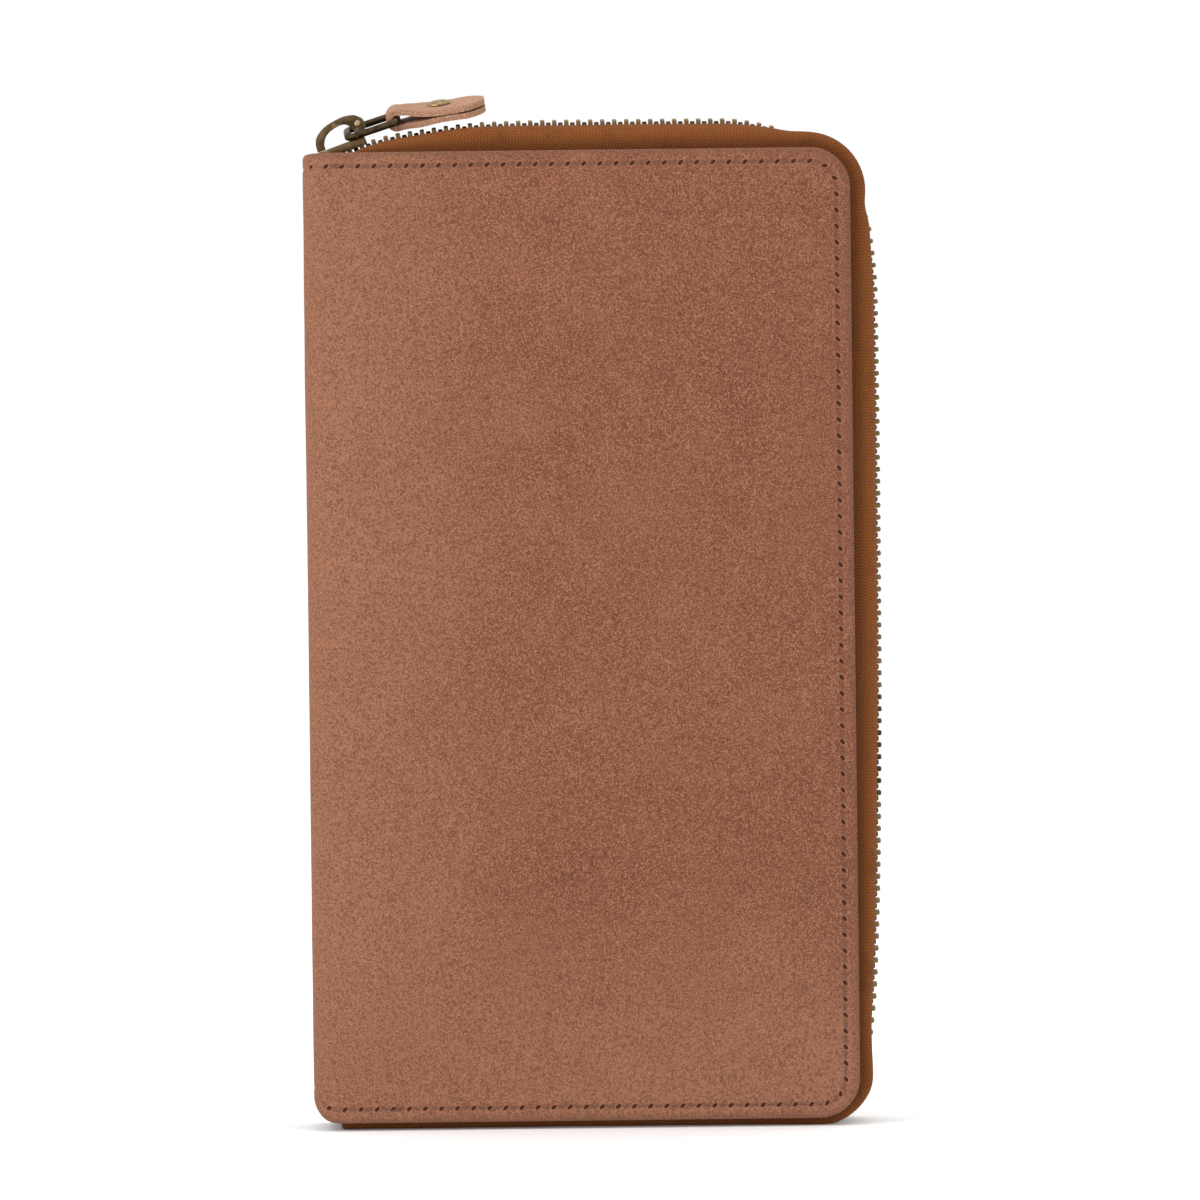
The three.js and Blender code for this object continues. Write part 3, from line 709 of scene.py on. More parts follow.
@dataclass(frozen=True)
class Body:
    """The wallet's outline, read from the frame."""

    spine_x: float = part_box("spine_leather")[0][0]
    edge_x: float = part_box("front_leather")[1][0]
    low_z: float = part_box("front_leather")[0][2]
    high_z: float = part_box("front_leather")[1][2]
    face_y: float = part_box("back_leather")[1][1]
    corner: float = 8 * MM
    fold: float = 5 * MM
    leather: float = 1.4 * MM


@dataclass(frozen=True)
class Rail:
    """The line that the big zip follows: along the top, down the opening edge and back along the bottom."""

    body: Body
    tooth_thickness: float = 2.4 * MM
    # The chain's outer side above the cover's edge, at runs from the spine end, in millimetres.
    top_rise: tuple = ((0, -2.47), (3.4, -1.23), (8.4, 0.59), (13, 2.27), (18, 3.6), (24, 4.5), (31, 5.4),
                       (38, 5.9), (50, 6.1), (84, 6))
    corner_rise: tuple = ((-9, 4.9), (-3, 2.9), (6.283, 1.9))
    side_rise: tuple = ((3, 2.6), (8, 4.3), (22, 5.5), (50, 5.6), (90, 5.5))
    side_end_rise: tuple = ((-45, 4.9), (-18, 3.9), (-5, 2.6), (6.283, 1.5))
    bottom_rise: tuple = ((6, 1.4),)
    end_rise: tuple = ((-14, 1.4), (-6, 0), (0, -2))

    @property
    def top_run(self) -> float:
        """The straight run along the top."""
        return self.body.edge_x - self.body.spine_x - self.body.corner

    @property
    def corner_run(self) -> float:
        """A corner's run."""
        return math.pi / 2 * self.body.corner

    @property
    def side_end(self) -> float:
        """Where the straight run down the opening edge ends."""
        return self.top_run + self.corner_run + self.body.high_z - self.body.low_z - 2 * self.body.corner

    @property
    def length(self) -> float:
        """The whole run."""
        return self.side_end + self.corner_run + self.top_run

    def rises(self) -> list[tuple[float, float]]:
        """The chain's heights at runs from the start of the rail, in metres."""
        sections = (
            (0, self.top_rise),
            (self.top_run, self.corner_rise),
            (self.top_run + self.corner_run, self.side_rise),
            (self.side_end, self.side_end_rise),
            (self.side_end + self.corner_run, self.bottom_rise),
            (self.length, self.end_rise),
        )
        return [(start + run * MM, rise * MM) for start, pairs in sections for run, rise in pairs]

    def rise(self, run: float) -> float:
        """The height of the chain's outer side over the cover's edge, by a line that never overshoots.

        Args:
            run: The run from the start of the rail.

        Returns:
            The height, in metres.
        """
        pairs = self.rises()
        i = next((k for k, (at, _) in enumerate(pairs) if at >= run), len(pairs) - 1)
        i = max(1, i)

        def slope(k: int) -> float:
            """The slope of the stretch that ends at pair k."""
            k = min(max(k, 1), len(pairs) - 1)
            return (pairs[k][1] - pairs[k - 1][1]) / (pairs[k][0] - pairs[k - 1][0])

        def tangent(k: int) -> float:
            """The slope at pair k."""
            a, b = slope(k), slope(k + 1)
            return 0 if a * b <= 0 else 2 * a * b / (a + b)

        (s0, r0), (s1, r1) = pairs[i - 1], pairs[i]
        span = s1 - s0
        t = (run - s0) / span
        fall = 2 * t**3 - 3 * t**2 + 1
        ends = tangent(i - 1) * (t**3 - 2 * t**2 + t) + tangent(i) * (t**3 - t**2)
        return r0 * fall + r1 * (1 - fall) + span * ends

    def edge(self, run: float) -> tuple[Vector, Vector]:
        """The cover's edge at a run: the point and the direction out of it, both at y = 0."""
        b = self.body
        right = b.edge_x - b.corner
        if run <= self.top_run:
            return Vector((b.spine_x + run, 0, b.high_z)), Vector((0, 0, 1))
        if run <= self.top_run + self.corner_run:
            angle = math.pi / 2 - (run - self.top_run) / b.corner
            centre = Vector((right, 0, b.high_z - b.corner))
        elif run <= self.side_end:
            down = run - self.top_run - self.corner_run
            return Vector((b.edge_x, 0, b.high_z - b.corner - down)), Vector((1, 0, 0))
        elif run <= self.side_end + self.corner_run:
            angle = -(run - self.side_end) / b.corner
            centre = Vector((right, 0, b.low_z + b.corner))
        else:
            back = run - self.side_end - self.corner_run
            return Vector((right - back, 0, b.low_z)), Vector((0, 0, -1))
        out = Vector((math.cos(angle), 0, math.sin(angle)))
        return centre + out * b.corner, out

    def point(self, run: float, y: float, out: float) -> Vector:
        """A point at a run, at y across the wallet, and out of the cover's edge."""
        at, normal = self.edge(run)
        return at + normal * out + Vector((0, y, 0))

    def cornerness(self, run: float) -> float:
        """How near a corner's middle a run is, from 0 to 1."""
        middles = (self.top_run + self.corner_run / 2, self.side_end + self.corner_run / 2)
        return max(bump(run, middle, 13 * MM) for middle in middles)

    def tooth_place(self, run: float, side: Side) -> Matrix:
        """Where a tooth at a run sits: X along the chain, Y across to the other cover, Z out."""
        half = self.tooth_thickness / 2
        step = 0.5 * MM
        at = self.point(run, 0, self.rise(run) - half)
        after = self.point(run + step, 0, self.rise(run + step) - half)
        before = self.point(run - step, 0, self.rise(run - step) - half)
        along = (after - before).normalized()
        across = Vector((0, -side.value, 0))
        out = along.cross(across)
        if out.dot(self.edge(run)[1]) < 0:
            out = -out
        place = Matrix((along, across, out)).transposed().to_4x4()
        place.translation = at
        return place


# ---------------------------------------------------------------- finishes in use
@dataclass
class Finishes:
    """Every material of the wallet, made once."""

    cover: bpy.types.Material = field(default_factory=lambda: Nubuck("cover_nubuck").material())
    tab: bpy.types.Material = field(
        default_factory=lambda: Nubuck(
            "tab_nubuck",
            base=from_screen(166, 122, 97),
            light=from_screen(200, 162, 134),
            dark=from_screen(132, 90, 66),
            rubbing=0,
            edge_attribute=False,
        ).material()
    )
    pocket: bpy.types.Material = field(
        default_factory=lambda: Nubuck(
            "pocket_leather",
            base=from_screen(126, 82, 59),
            light=from_screen(146, 100, 76),
            dark=from_screen(100, 62, 43),
            rubbing=0,
            edge_attribute=False,
            rough=0.68,
        ).material()
    )
    tape: bpy.types.Material = field(default_factory=lambda: Herringbone().material())
    brass: bpy.types.Material = field(default_factory=lambda: AgedBrass("aged_brass").material())
    bright: bpy.types.Material = field(
        default_factory=lambda: AgedBrass(
            "rubbed_brass",
            dark=from_screen(120, 98, 62),
            mid=from_screen(168, 140, 92),
            bright=from_screen(222, 198, 148),
            rough=0.3,
        ).material()
    )
    lining: bpy.types.Material = field(
        default_factory=lambda: Cloth("lining_weave", from_screen(96, 62, 42), from_screen(58, 36, 24)).material()
    )
    board: bpy.types.Material = field(default_factory=lambda: PaperBoard().material())
    thread: bpy.types.Material = field(default_factory=lambda: Thread().material())


# ---------------------------------------------------------------- the leather outside
@dataclass
class CoverWrap:
    """One cover's leather, from the opening edge round the fold to the middle of the spine, with its seam."""

    side: Side
    body: Body
    finishes: Finishes
    step: float = 2.2 * MM
    edge_roll: float = 0.9 * MM
    edge_drop: float = 0.34 * MM
    seam_inset: float = 2.75 * MM
    stitch: float = 3.2 * MM
    low_trim: float = 4.4 * MM
    high_trim: float = 0.7 * MM
    # Distances from an edge where the leather is modelled finely.
    fine: tuple = (0, 0.12, 0.3, 0.6, 0.95, 1.4, 1.9, 2.3, 2.55, 2.75, 2.95, 3.2, 3.6, 4.3, 5.2, 6.4, 8)

    @property
    def flat(self) -> float:
        """The spine's half width between its folds."""
        return self.body.face_y - self.body.fold

    @property
    def turn(self) -> float:
        """The leather's length round the fold."""
        return math.pi / 2 * self.body.fold

    @property
    def reach(self) -> float:
        """The leather's length from the middle of the spine to the opening edge."""
        return self.flat + self.turn + self.body.edge_x - self.body.spine_x - self.body.fold

    def columns(self) -> list[float]:
        """Distances from the middle of the spine."""
        fine = [self.reach - inset * MM for inset in reversed(self.fine)]
        fold = spread(self.flat, self.flat + self.turn, 0.8 * MM)
        return spread(0, self.flat, 2.5 * MM) + fold + spread(self.flat + self.turn, fine[0], self.step) + fine

    def rows(self) -> list[float]:
        """Heights."""
        low = [self.body.low_z + inset * MM for inset in self.fine]
        high = [self.body.high_z - inset * MM for inset in reversed(self.fine)]
        return low[:-1] + spread(low[-1], high[0], self.step) + high

    def plan(self, along: float) -> tuple[float, float]:
        """The distance from the spine's outer face, and the angle round the fold, at a distance along the leather."""
        if along <= self.flat:
            return 0.0, math.pi / 2
        if along < self.flat + self.turn:
            angle = math.pi / 2 - (along - self.flat) / self.body.fold
            return self.body.fold * (1 - math.sin(angle)), angle
        return along - self.flat - self.turn + self.body.fold, 0.0

    def trimmed(self, along: float, height: float) -> float:
        """The height once the leather's ends are trimmed back round the fold."""
        x, _ = self.plan(along)
        fold = self.body.fold
        share = 0.0
        if x < fold:
            share = 1 - math.sqrt(max(0.0, 1 - ((fold - x) / fold) ** 2))
        low = self.body.low_z + self.low_trim * share
        high = self.body.high_z - self.high_trim * share
        whole = self.body.high_z - self.body.low_z
        return low + (height - self.body.low_z) * (high - low) / whole

    def insets(self, along: float, height: float) -> tuple[float, float]:
        """The distances in from the opening edge, and from the nearer of the top and bottom edges."""
        nearer = min(height - self.body.low_z, self.body.high_z - height)
        return self.reach - along, nearer

    def rounded(self, along: float, height: float) -> tuple[float, float, float]:
        """Rounds the two free corners so that lines at one inset stay at it.

        Returns:
            X, Z, and the run round a corner as an angle up from X, or -1 where there's no corner.
        """
        x = self.body.spine_x + self.plan(along)[0]
        z = self.trimmed(along, height)
        beside, above = self.insets(along, height)
        r = self.body.corner
        if beside >= r or above >= r:
            return x, z, -1
        a, b = 1 - beside / r, 1 - above / r
        far = max(a, b)
        if far < 1e-9:
            angle = math.pi / 4
        else:
            angle = b / a * math.pi / 4 if a >= b else math.pi / 2 - a / b * math.pi / 4
        is_high = height > (self.body.low_z + self.body.high_z) / 2
        up = 1 if is_high else -1
        centre_z = self.body.high_z - r if is_high else self.body.low_z + r
        x = self.body.edge_x - r + r * far * math.cos(angle)
        return x, centre_z + up * r * far * math.sin(angle), angle

    def edge_inset(self, along: float, height: float) -> float:
        """The distance in from the nearest cut edge."""
        return min(self.insets(along, height))

    def seam_run(self, along: float, height: float) -> float:
        """How far along the seam the nearest part of it is, from the spine end of the top edge."""
        b = self.body
        beside, above = self.insets(along, height)
        run_x = self.plan(along)[0]
        straight = b.edge_x - b.spine_x - b.corner
        around = math.pi / 2 * (b.corner - self.seam_inset)
        tall = b.high_z - b.low_z - 2 * b.corner
        _, _, angle = self.rounded(along, height)
        is_high = height > (b.low_z + b.high_z) / 2
        if angle >= 0:
            turned = (math.pi / 2 - angle) / (math.pi / 2) * around
            return straight + turned if is_high else straight + around + tall + around - turned
        if above <= beside:
            return run_x if is_high else 2 * (straight + around) + tall - run_x
        return straight + around + (b.high_z - b.corner - height)

    def seam_gate(self, along: float, height: float) -> float:
        """The distance from the seam's edge for the stitch pattern, which stops short of the spine."""
        x, _ = self.plan(along)
        return self.edge_inset(along, height) + (20 * MM if x < 1.2 * MM else 0)

    def point(self, along: float, height: float) -> Vector:
        """A point of the leather's outer face."""
        b, sign = self.body, self.side.value
        x, z, _ = self.rounded(along, height)
        _, angle = self.plan(along)
        inset = self.edge_inset(along, height)
        ripple = bump(inset, 1.3 * MM, 1.1 * MM) * math.cos(self.seam_run(along, height) / self.stitch * math.tau)
        sink = self.edge_drop * max(0.0, 1 - inset / self.edge_roll) ** 2
        sink += 0.16 * MM * bump(inset, self.seam_inset, 0.5 * MM)
        sink += 0.035 * MM * ripple + 0.12 * MM * (0.6 - cloud(x, z, 34 * MM, sign))
        sink += 0.04 * MM * cloud(x, z, 11 * MM, 5 + sign)
        crease = bump(z, b.low_z + 6.3 * MM + 0.06 * (x - b.spine_x), 0.35 * MM)
        sink += 0.07 * MM * crease * bump(x, b.spine_x + 20 * MM, 6 * MM) * (sign < 0)
        if angle == 0:
            return Vector((x, sign * (b.face_y - sink), z))
        radius = b.fold - sink
        y = b.face_y - b.fold + radius * math.cos(angle)
        if along < self.flat:
            y = along
        return Vector((b.spine_x + b.fold - radius * math.sin(angle), sign * y, z))

    def seam_places(self) -> list[Matrix]:
        """Where each stitch's thread lies, with X along the seam and Z off the leather."""
        b, sign = self.body, self.side.value
        straight = b.edge_x - b.spine_x - b.corner
        bend = b.corner - self.seam_inset
        around = math.pi / 2 * bend
        tall = b.high_z - b.low_z - 2 * b.corner
        whole = 2 * (straight + around) + tall
        places = []
        for k in range(2, int(whole / self.stitch) - 1):
            run = k * self.stitch
            if run < straight:
                at, way = Vector((b.spine_x + run, 0, b.high_z - self.seam_inset)), Vector((1, 0, 0))
            elif run < straight + around:
                turn = (run - straight) / bend
                centre = Vector((b.edge_x - b.corner, 0, b.high_z - b.corner))
                at = centre + bend * Vector((math.sin(turn), 0, math.cos(turn)))
                way = Vector((math.cos(turn), 0, -math.sin(turn)))
            elif run < straight + around + tall:
                at = Vector((b.edge_x - self.seam_inset, 0, b.high_z - b.corner - (run - straight - around)))
                way = Vector((0, 0, -1))
            elif run < straight + 2 * around + tall:
                turn = (run - straight - around - tall) / bend
                centre = Vector((b.edge_x - b.corner, 0, b.low_z + b.corner))
                at = centre + bend * Vector((math.cos(turn), 0, -math.sin(turn)))
                way = Vector((-math.sin(turn), 0, -math.cos(turn)))
            else:
                at = Vector((b.spine_x + whole - run, 0, b.low_z + self.seam_inset))
                way = Vector((-1, 0, 0))
            sunk = 0.26 * MM + 0.12 * MM * (0.6 - cloud(at.x, at.z, 34 * MM, sign))
            at.y = sign * (b.face_y - sunk - 0.05 * MM)
            off = Vector((0, sign, 0))
            place = Matrix((way, off.cross(way), off)).transposed().to_4x4()
            place.translation = at
            places.append(place)
        # Each end of the seam is sewn over itself, which leaves a knot.
        shift = Matrix.Translation((1.1 * MM, 0.2 * MM, 0.22 * MM)) @ Matrix.Rotation(0.3, 4, "Z")
        places += [places[0] @ shift, places[-4] @ shift]
        return places

    def build(self) -> None:
        """Makes the leather and its thread."""
        columns, rows = self.columns(), self.rows()
        name = f"{self.side.word}_leather_wrap"
        leather = lay_grid(name, columns, rows, self.point)
        carry(leather, "edge_inset", columns, rows, self.seam_gate)
        carry(leather, "seam_run", columns, rows, self.seam_run)
        outward = 1 if leather.data.polygons[0].normal.dot(Vector((-1, 0, 0))) > 0 else -1
        apply_modifier(
            leather,
            "SOLIDIFY",
            thickness=self.body.leather - 0.35 * MM,
            offset=-outward,
            use_even_offset=True,
            use_quality_normals=True,
        )
        face_outwards(leather)
        smooth(leather, 50)
        dress(leather, self.finishes.cover)
        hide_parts(f"{self.side.word}_leather")
        if self.side is Side.BACK:
            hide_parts("spine_leather")
        self.side.body
        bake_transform(leather)
        thread = stamp(stitch_master(), self.seam_places(), f"{self.side.word}_seam_thread")
        smooth(thread, 60)
        dress(thread, self.finishes.thread)
        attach(thread, self.side.body)
        LOG.info("%s leather: %d faces", self.side.word, len(leather.data.polygons))


def stitch_master(length: float = 2.9 * MM, radius: float = 0.2 * MM) -> bpy.types.Object:
    """One stitch of thread along X, swelling in the middle, with both ends turned down into their holes.

    Args:
        length: From hole to hole.
        radius: The thread's radius.

    Returns:
        The stitch, at the origin.
    """
    clear_selection()
    bpy.ops.mesh.primitive_circle_add(
        vertices=6,
        radius=radius * 0.7,
        fill_type="NGON",
        location=(-length / 2, 0, -0.5 * MM),
        rotation=(0, math.pi / 2, 0),
    )
    stitch = bpy.context.object
    settle(stitch)
    bpy.ops.object.mode_set(mode="EDIT")
    bpy.ops.mesh.select_all(action="SELECT")
    # Each step's share of the length, its lift in millimetres and how much the thread swells over it.
    steps = (
        (0.1, 0.34, 1.3),
        (0.16, 0.15, 1.15),
        (0.24, 0.05, 1.05),
        (0.24, -0.05, 0.95),
        (0.16, -0.15, 0.87),
        (0.1, -0.34, 0.77),
    )
    for share, lift, swell in steps:
        bpy.ops.mesh.extrude_region_move(TRANSFORM_OT_translate={"value": (length * share, 0, lift * MM)})
        bpy.ops.transform.resize(value=(1, swell, swell))
    bpy.ops.object.mode_set(mode="OBJECT")
    face_outwards(stitch)
    return stitch


# ---------------------------------------------------------------- the big zip
@dataclass
class ZipTape:
    """One cover's woven zip tape: sewn flat inside the edge, then arched over to the teeth."""

    side: Side
    rail: Rail
    finishes: Finishes
    sewn: float = 6 * MM
    thickness: float = 0.5 * MM
    seam_y: float = 9.8 * MM
    edge_y: float = 2.5 * MM
    below_chain: float = 0.4 * MM
    high_arch: float = 4.4 * MM
    corner_arch: float = 2.7 * MM
    arch: tuple = (14, 26, 38, 50, 60, 70, 80, 90)

    @property
    def start(self) -> float:
        """Where the tape starts on the rail."""
        return 5.5 * MM

    def line(self, run: float) -> list[tuple[float, float]]:
        """The tape's middle line across, as (y, out of the edge)."""
        rail = self.rail
        crown = rail.rise(run) - rail.tooth_thickness / 2 - self.below_chain
        under = min(1.0, max(0.0, (run - rail.side_end) / rail.corner_run))
        under = under * under * (3 - 2 * under)
        flat = min(1.35 * MM, (rail.length - run) / 3)
        crown = max(crown, crown + (flat - crown) * under)
        corner = rail.cornerness(run)
        highest = self.high_arch - (self.high_arch - self.corner_arch) * corner
        arch = min(highest, crown + 0.3 * MM + self.corner_arch * corner)
        bulge = max(0.1 * MM, arch - 0.8 * max(crown, 0)) * (1 - 0.6 * under)
        bulge += math.sin(run / (5.3 * MM)) * 0.14 * MM * corner + 0.12 * MM * cloud(run, 0, 15 * MM, self.side.value)
        foot = min(-0.4 * MM, crown - 0.2 * MM)
        points = [(self.seam_y, -self.sewn), (self.seam_y, (foot - self.sewn) / 2), (self.seam_y, foot)]
        shoulder = 3.9 * MM
        for degrees in self.arch:
            a = math.radians(degrees)
            y = shoulder + (self.seam_y - shoulder) * math.cos(a)
            points.append((y, foot + (crown - foot) * math.sin(a) + bulge * math.sin(2 * a)))
        points.append((3.2 * MM, crown + 0.02 * MM))
        points.append((self.edge_y, crown + 0.05 * MM))
        return points

    def point(self, run: float, step: float) -> Vector:
        """A point of the tape's middle, where step counts the points across it."""
        y, out = self.line(run)[round(step)]
        at = self.rail.point(run, self.side.value * y, out)
        at.z = max(at.z, self.thickness / 2 + 0.02 * MM)
        return at

    def build(self) -> None:
        """Makes the tape."""
        rail = self.rail
        columns = spread(self.start, rail.length - self.start, 1.5 * MM) + [rail.length - self.start]
        count = len(self.line(columns[0]))
        rows = [float(k) for k in range(count)]
        tape = lay_grid(f"{self.side.word}_tape_weave", columns, rows, self.point)
        across = [0.0]
        line = self.line(rail.top_run / 2)
        for (y0, n0), (y1, n1) in zip(line, line[1:]):
            across.append(across[-1] + math.hypot(y1 - y0, n1 - n0))
        carry(tape, "tape_run", columns, rows, lambda run, _: run)
        carry(tape, "tape_width", columns, rows, lambda _, step: across[round(step)])

        def shade(_: float, step: float) -> float:
            """The painted shade on the tape: beside the cover, and under the teeth."""
            return bump(step, 2.5, 1.6) + bump(step, count - 1, 1.2) * 0.6

        carry(tape, "tape_shade", columns, rows, shade)
        apply_modifier(tape, "SOLIDIFY", thickness=self.thickness, offset=0, use_even_offset=True)
        face_outwards(tape)
        apply_modifier(tape, "SUBSURF", levels=1, render_levels=1)
        smooth(tape, 60)
        dress(tape, self.finishes.tape)
        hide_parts(f"{self.side.word}_zip_tape")
        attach(tape, self.side.body)
        LOG.info("%s tape: %d faces", self.side.word, len(tape.data.polygons))


@dataclass
class TeethRow:
    """One row of cast metal teeth: a body clamped over the tape's edge and a cupped head with a nib."""

    side: Side
    rail: Rail
    finishes: Finishes
    pitch: float = 2.39 * MM
    width: float = 1.16 * MM
    thickness: float = 2.3 * MM
    tip: float = 0.75 * MM
    foot: float = 3.0 * MM
    # How much lower the back row's outer side stands than the front row's.
    low_side: float = 0.5 * MM
    first: float = 7.2 * MM

    def master(self) -> bpy.types.Object:
        """One tooth at the origin: X along the chain, +Y to the other cover, Z out."""
        clear_selection()
        length = self.tip + self.foot
        lowered = self.low_side if self.side is Side.BACK else 0
        bpy.ops.mesh.primitive_cube_add(size=1, location=(0, (self.tip - self.foot) / 2, -lowered / 2))
        tooth = bpy.context.object
        tooth.scale = (self.width, length, self.thickness - lowered)
        settle(tooth)
        select_faces(tooth, lambda face: face.normal.y > 0.9)
        bpy.ops.mesh.inset(thickness=0.16 * MM)
        bpy.ops.mesh.extrude_region_move(TRANSFORM_OT_translate={"value": (0, 0.3 * MM, 0)})
        bpy.ops.transform.resize(value=(0.7, 1, 0.55))
        bpy.ops.object.mode_set(mode="OBJECT")
        select_faces(tooth, lambda face: face.normal.y < -0.9)
        bpy.ops.mesh.extrude_region_move(TRANSFORM_OT_translate={"value": (0, -0.35 * MM, 0)})
        bpy.ops.transform.resize(value=(0.8, 1, 0.72))
        bpy.ops.object.mode_set(mode="OBJECT")
        select_faces(tooth, lambda face: face.normal.z > 0.9)
        bpy.ops.transform.resize(value=(0.56, 1, 1))
        bpy.ops.object.mode_set(mode="OBJECT")
        activate(tooth)
        apply_modifier(tooth, "BEVEL", width=0.16 * MM, segments=2, limit_method="ANGLE", angle_limit=math.radians(40))
        # Wear and a painted highlight on the tooth's outer top, where the light catches it.
        rubbed = tooth.data.attributes.new("rubbed", "FLOAT", "POINT")
        top = self.thickness / 2
        shares = [0.55 * max(0.0, min(1.0, v.co.z / top * 2.4 - 1.4)) for v in tooth.data.vertices]
        rubbed.data.foreach_set("value", shares)
        face_outwards(tooth)
        return tooth

    def build(self) -> None:
        """Makes the row."""
        shift = self.pitch / 2 if self.side is Side.BACK else 0
        count = int((self.rail.length - 2 * self.first) / self.pitch)
        runs = [self.first + shift + k * self.pitch for k in range(count)]
        places = [self.rail.tooth_place(run, self.side) for run in runs]
        row = stamp(self.master(), places, f"{self.side.word}_tooth_row")
        face_outwards(row)
        smooth(row, 50)
        dress(row, self.finishes.brass)
        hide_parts(f"{self.side.word}_teeth")
        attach(row, self.side.body)
        LOG.info("%s teeth: %d", self.side.word, count)


# ---------------------------------------------------------------- the slider and its pull
@dataclass
class PullTab:
    """The leather tab: one strip folded round the link's bar, with its two leaves riveted together."""

    finishes: Finishes
    leather: float = 1.15 * MM
    loop: float = 1.64 * MM
    length: float = 17.8 * MM
    half_width: float = 6.15 * MM
    neck: float = 3.85 * MM
    tip_depth: float = 5.4 * MM
    gap: float = 0.1 * MM
    rise: float = math.radians(8.5)
    lean: float = math.radians(9)

    def frame_place(self) -> Matrix:
        """Where the link's outer bar is: X along the tab, Y along the bar."""
        joint = next(j for j in frame["joints"] if j["name"] == "tab_swing")
        turn = Matrix.Rotation(-self.rise, 4, "Y") @ Matrix.Rotation(self.lean, 4, "X")
        return Matrix.Translation(Vector(joint["pos_m"])) @ turn

    def columns(self) -> list[float]:
        """Distances along the strip from the middle of the fold, negative on the lower leaf."""
        leaf = spread(2.4 * MM, self.length, 0.9 * MM) + [self.length - 0.2 * MM, self.length]
        fold = spread(-2.4 * MM, 2.4 * MM, 0.4 * MM)
        return [-at for at in reversed(leaf)] + fold[1:] + leaf

    def width_at(self, x: float) -> float:
        """The half width of a leaf at a distance from the bar."""
        share = min(1.0, max(0.0, (x - 1.0 * MM) / (4.6 * MM)))
        share = share * share * (3 - 2 * share)
        return self.neck + (self.half_width - self.neck) * share

    def point(self, along: float, share: float) -> Vector:
        """A point of the strip's middle, with share from -1 to 1 across it."""
        far = abs(along)
        up = 1 if along > 0 else -1
        half = self.gap + self.leather / 2
        turn_length = 2.4 * MM
        if far <= turn_length:
            angle = math.pi - up * far / turn_length * math.radians(118)
            at = Vector((self.loop * math.cos(angle), 0, self.loop * math.sin(angle)))
        else:
            last = math.pi - math.radians(118)
            start = Vector((self.loop * math.cos(last), 0, self.loop * math.sin(last)))
            x = start.x + (far - turn_length) * (self.length - start.x) / (self.length - turn_length)
            slope = bump(x, start.x, 2.6 * MM)
            swell = 0.3 * MM * bump(x, 4.6 * MM, 2.5 * MM) + 0.1 * MM * bump(x, self.length, 3 * MM)
            at = Vector((x, 0, half + (start.z - half) * slope + swell))
            at.z = at.z * up
        at.y = share * self.width_at(at.x)
        at.z -= 0.16 * MM * share * share * (at.x > 3 * MM)
        nearness = max(0.0, 1 - (self.length - at.x) / (8 * MM))
        at.x -= nearness * self.tip_depth * (1 - math.sqrt(1 - (0.975 * share) ** 2))
        return at

    def build(self) -> None:
        """Makes the tab and its rivet."""
        columns = self.columns()
        rows = [math.sin(math.radians(angle)) for angle in range(-90, 91, 10)]
        tab = lay_grid("pull_tab_strip", columns, rows, self.point)
        apply_modifier(tab, "SOLIDIFY", thickness=self.leather, offset=0, use_even_offset=True)
        face_outwards(tab)
        apply_modifier(tab, "BEVEL", width=0.14 * MM, segments=2, limit_method="ANGLE", angle_limit=math.radians(50))
        apply_modifier(tab, "SUBSURF", levels=1, render_levels=1)
        smooth(tab, 45)
        tab.data.transform(self.frame_place())
        dress(tab, self.finishes.tab)
        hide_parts("pull_tab_leather")
        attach(tab, "pull_tab")
        for node in ("tab_rivet_cap", "tab_rivet_burr"):
            rivet = from_frame(node, f"{node}_turned", 0.06 * MM, rounds=1)
            dress(rivet, self.finishes.bright)
            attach(rivet, "pull_tab")
        LOG.info("pull tab: %d faces", len(tab.data.polygons))


@dataclass
class Metalwork:
    """The sliders, stops, link and pins, with softened edges."""

    finishes: Finishes

    def build(self) -> None:
        """Makes every small metal piece from its CAD node."""
        pieces = (
            ("slider_body", "slider", 0.16 * MM, 0),
            ("slider_crown", "slider", 0.22 * MM, 0),
            ("crown_pin", "crown_pin", 0.1 * MM, 0),
            ("pull_link", "pull_link", 0, 2),
            ("front_top_stop", "front_cover", 0.2 * MM, 0),
            ("back_top_stop", "back_cover", 0.2 * MM, 0),
            ("bottom_stop", "back_cover", 0.25 * MM, 0),
            ("coin_stop_left", "back_cover", 0.2 * MM, 0),
            ("coin_stop_right", "back_cover", 0.2 * MM, 0),
            ("coin_slider_body", "coin_slider", 0.1 * MM, 0),
            ("coin_slider_crown", "coin_slider", 0.14 * MM, 0),
            ("coin_pull", "coin_pull", 0.14 * MM, 0),
        )
        for node, body, edge, rounds in pieces:
            piece = from_frame(node, f"{node}_cast", edge, rounds)
            bright = node == "crown_pin"
            dress(
                piece,
                self.finishes.bright if bright else self.finishes.brass,
            )
            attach(piece, body)
            LOG.info("%s: %d faces", piece.name, len(piece.data.polygons))


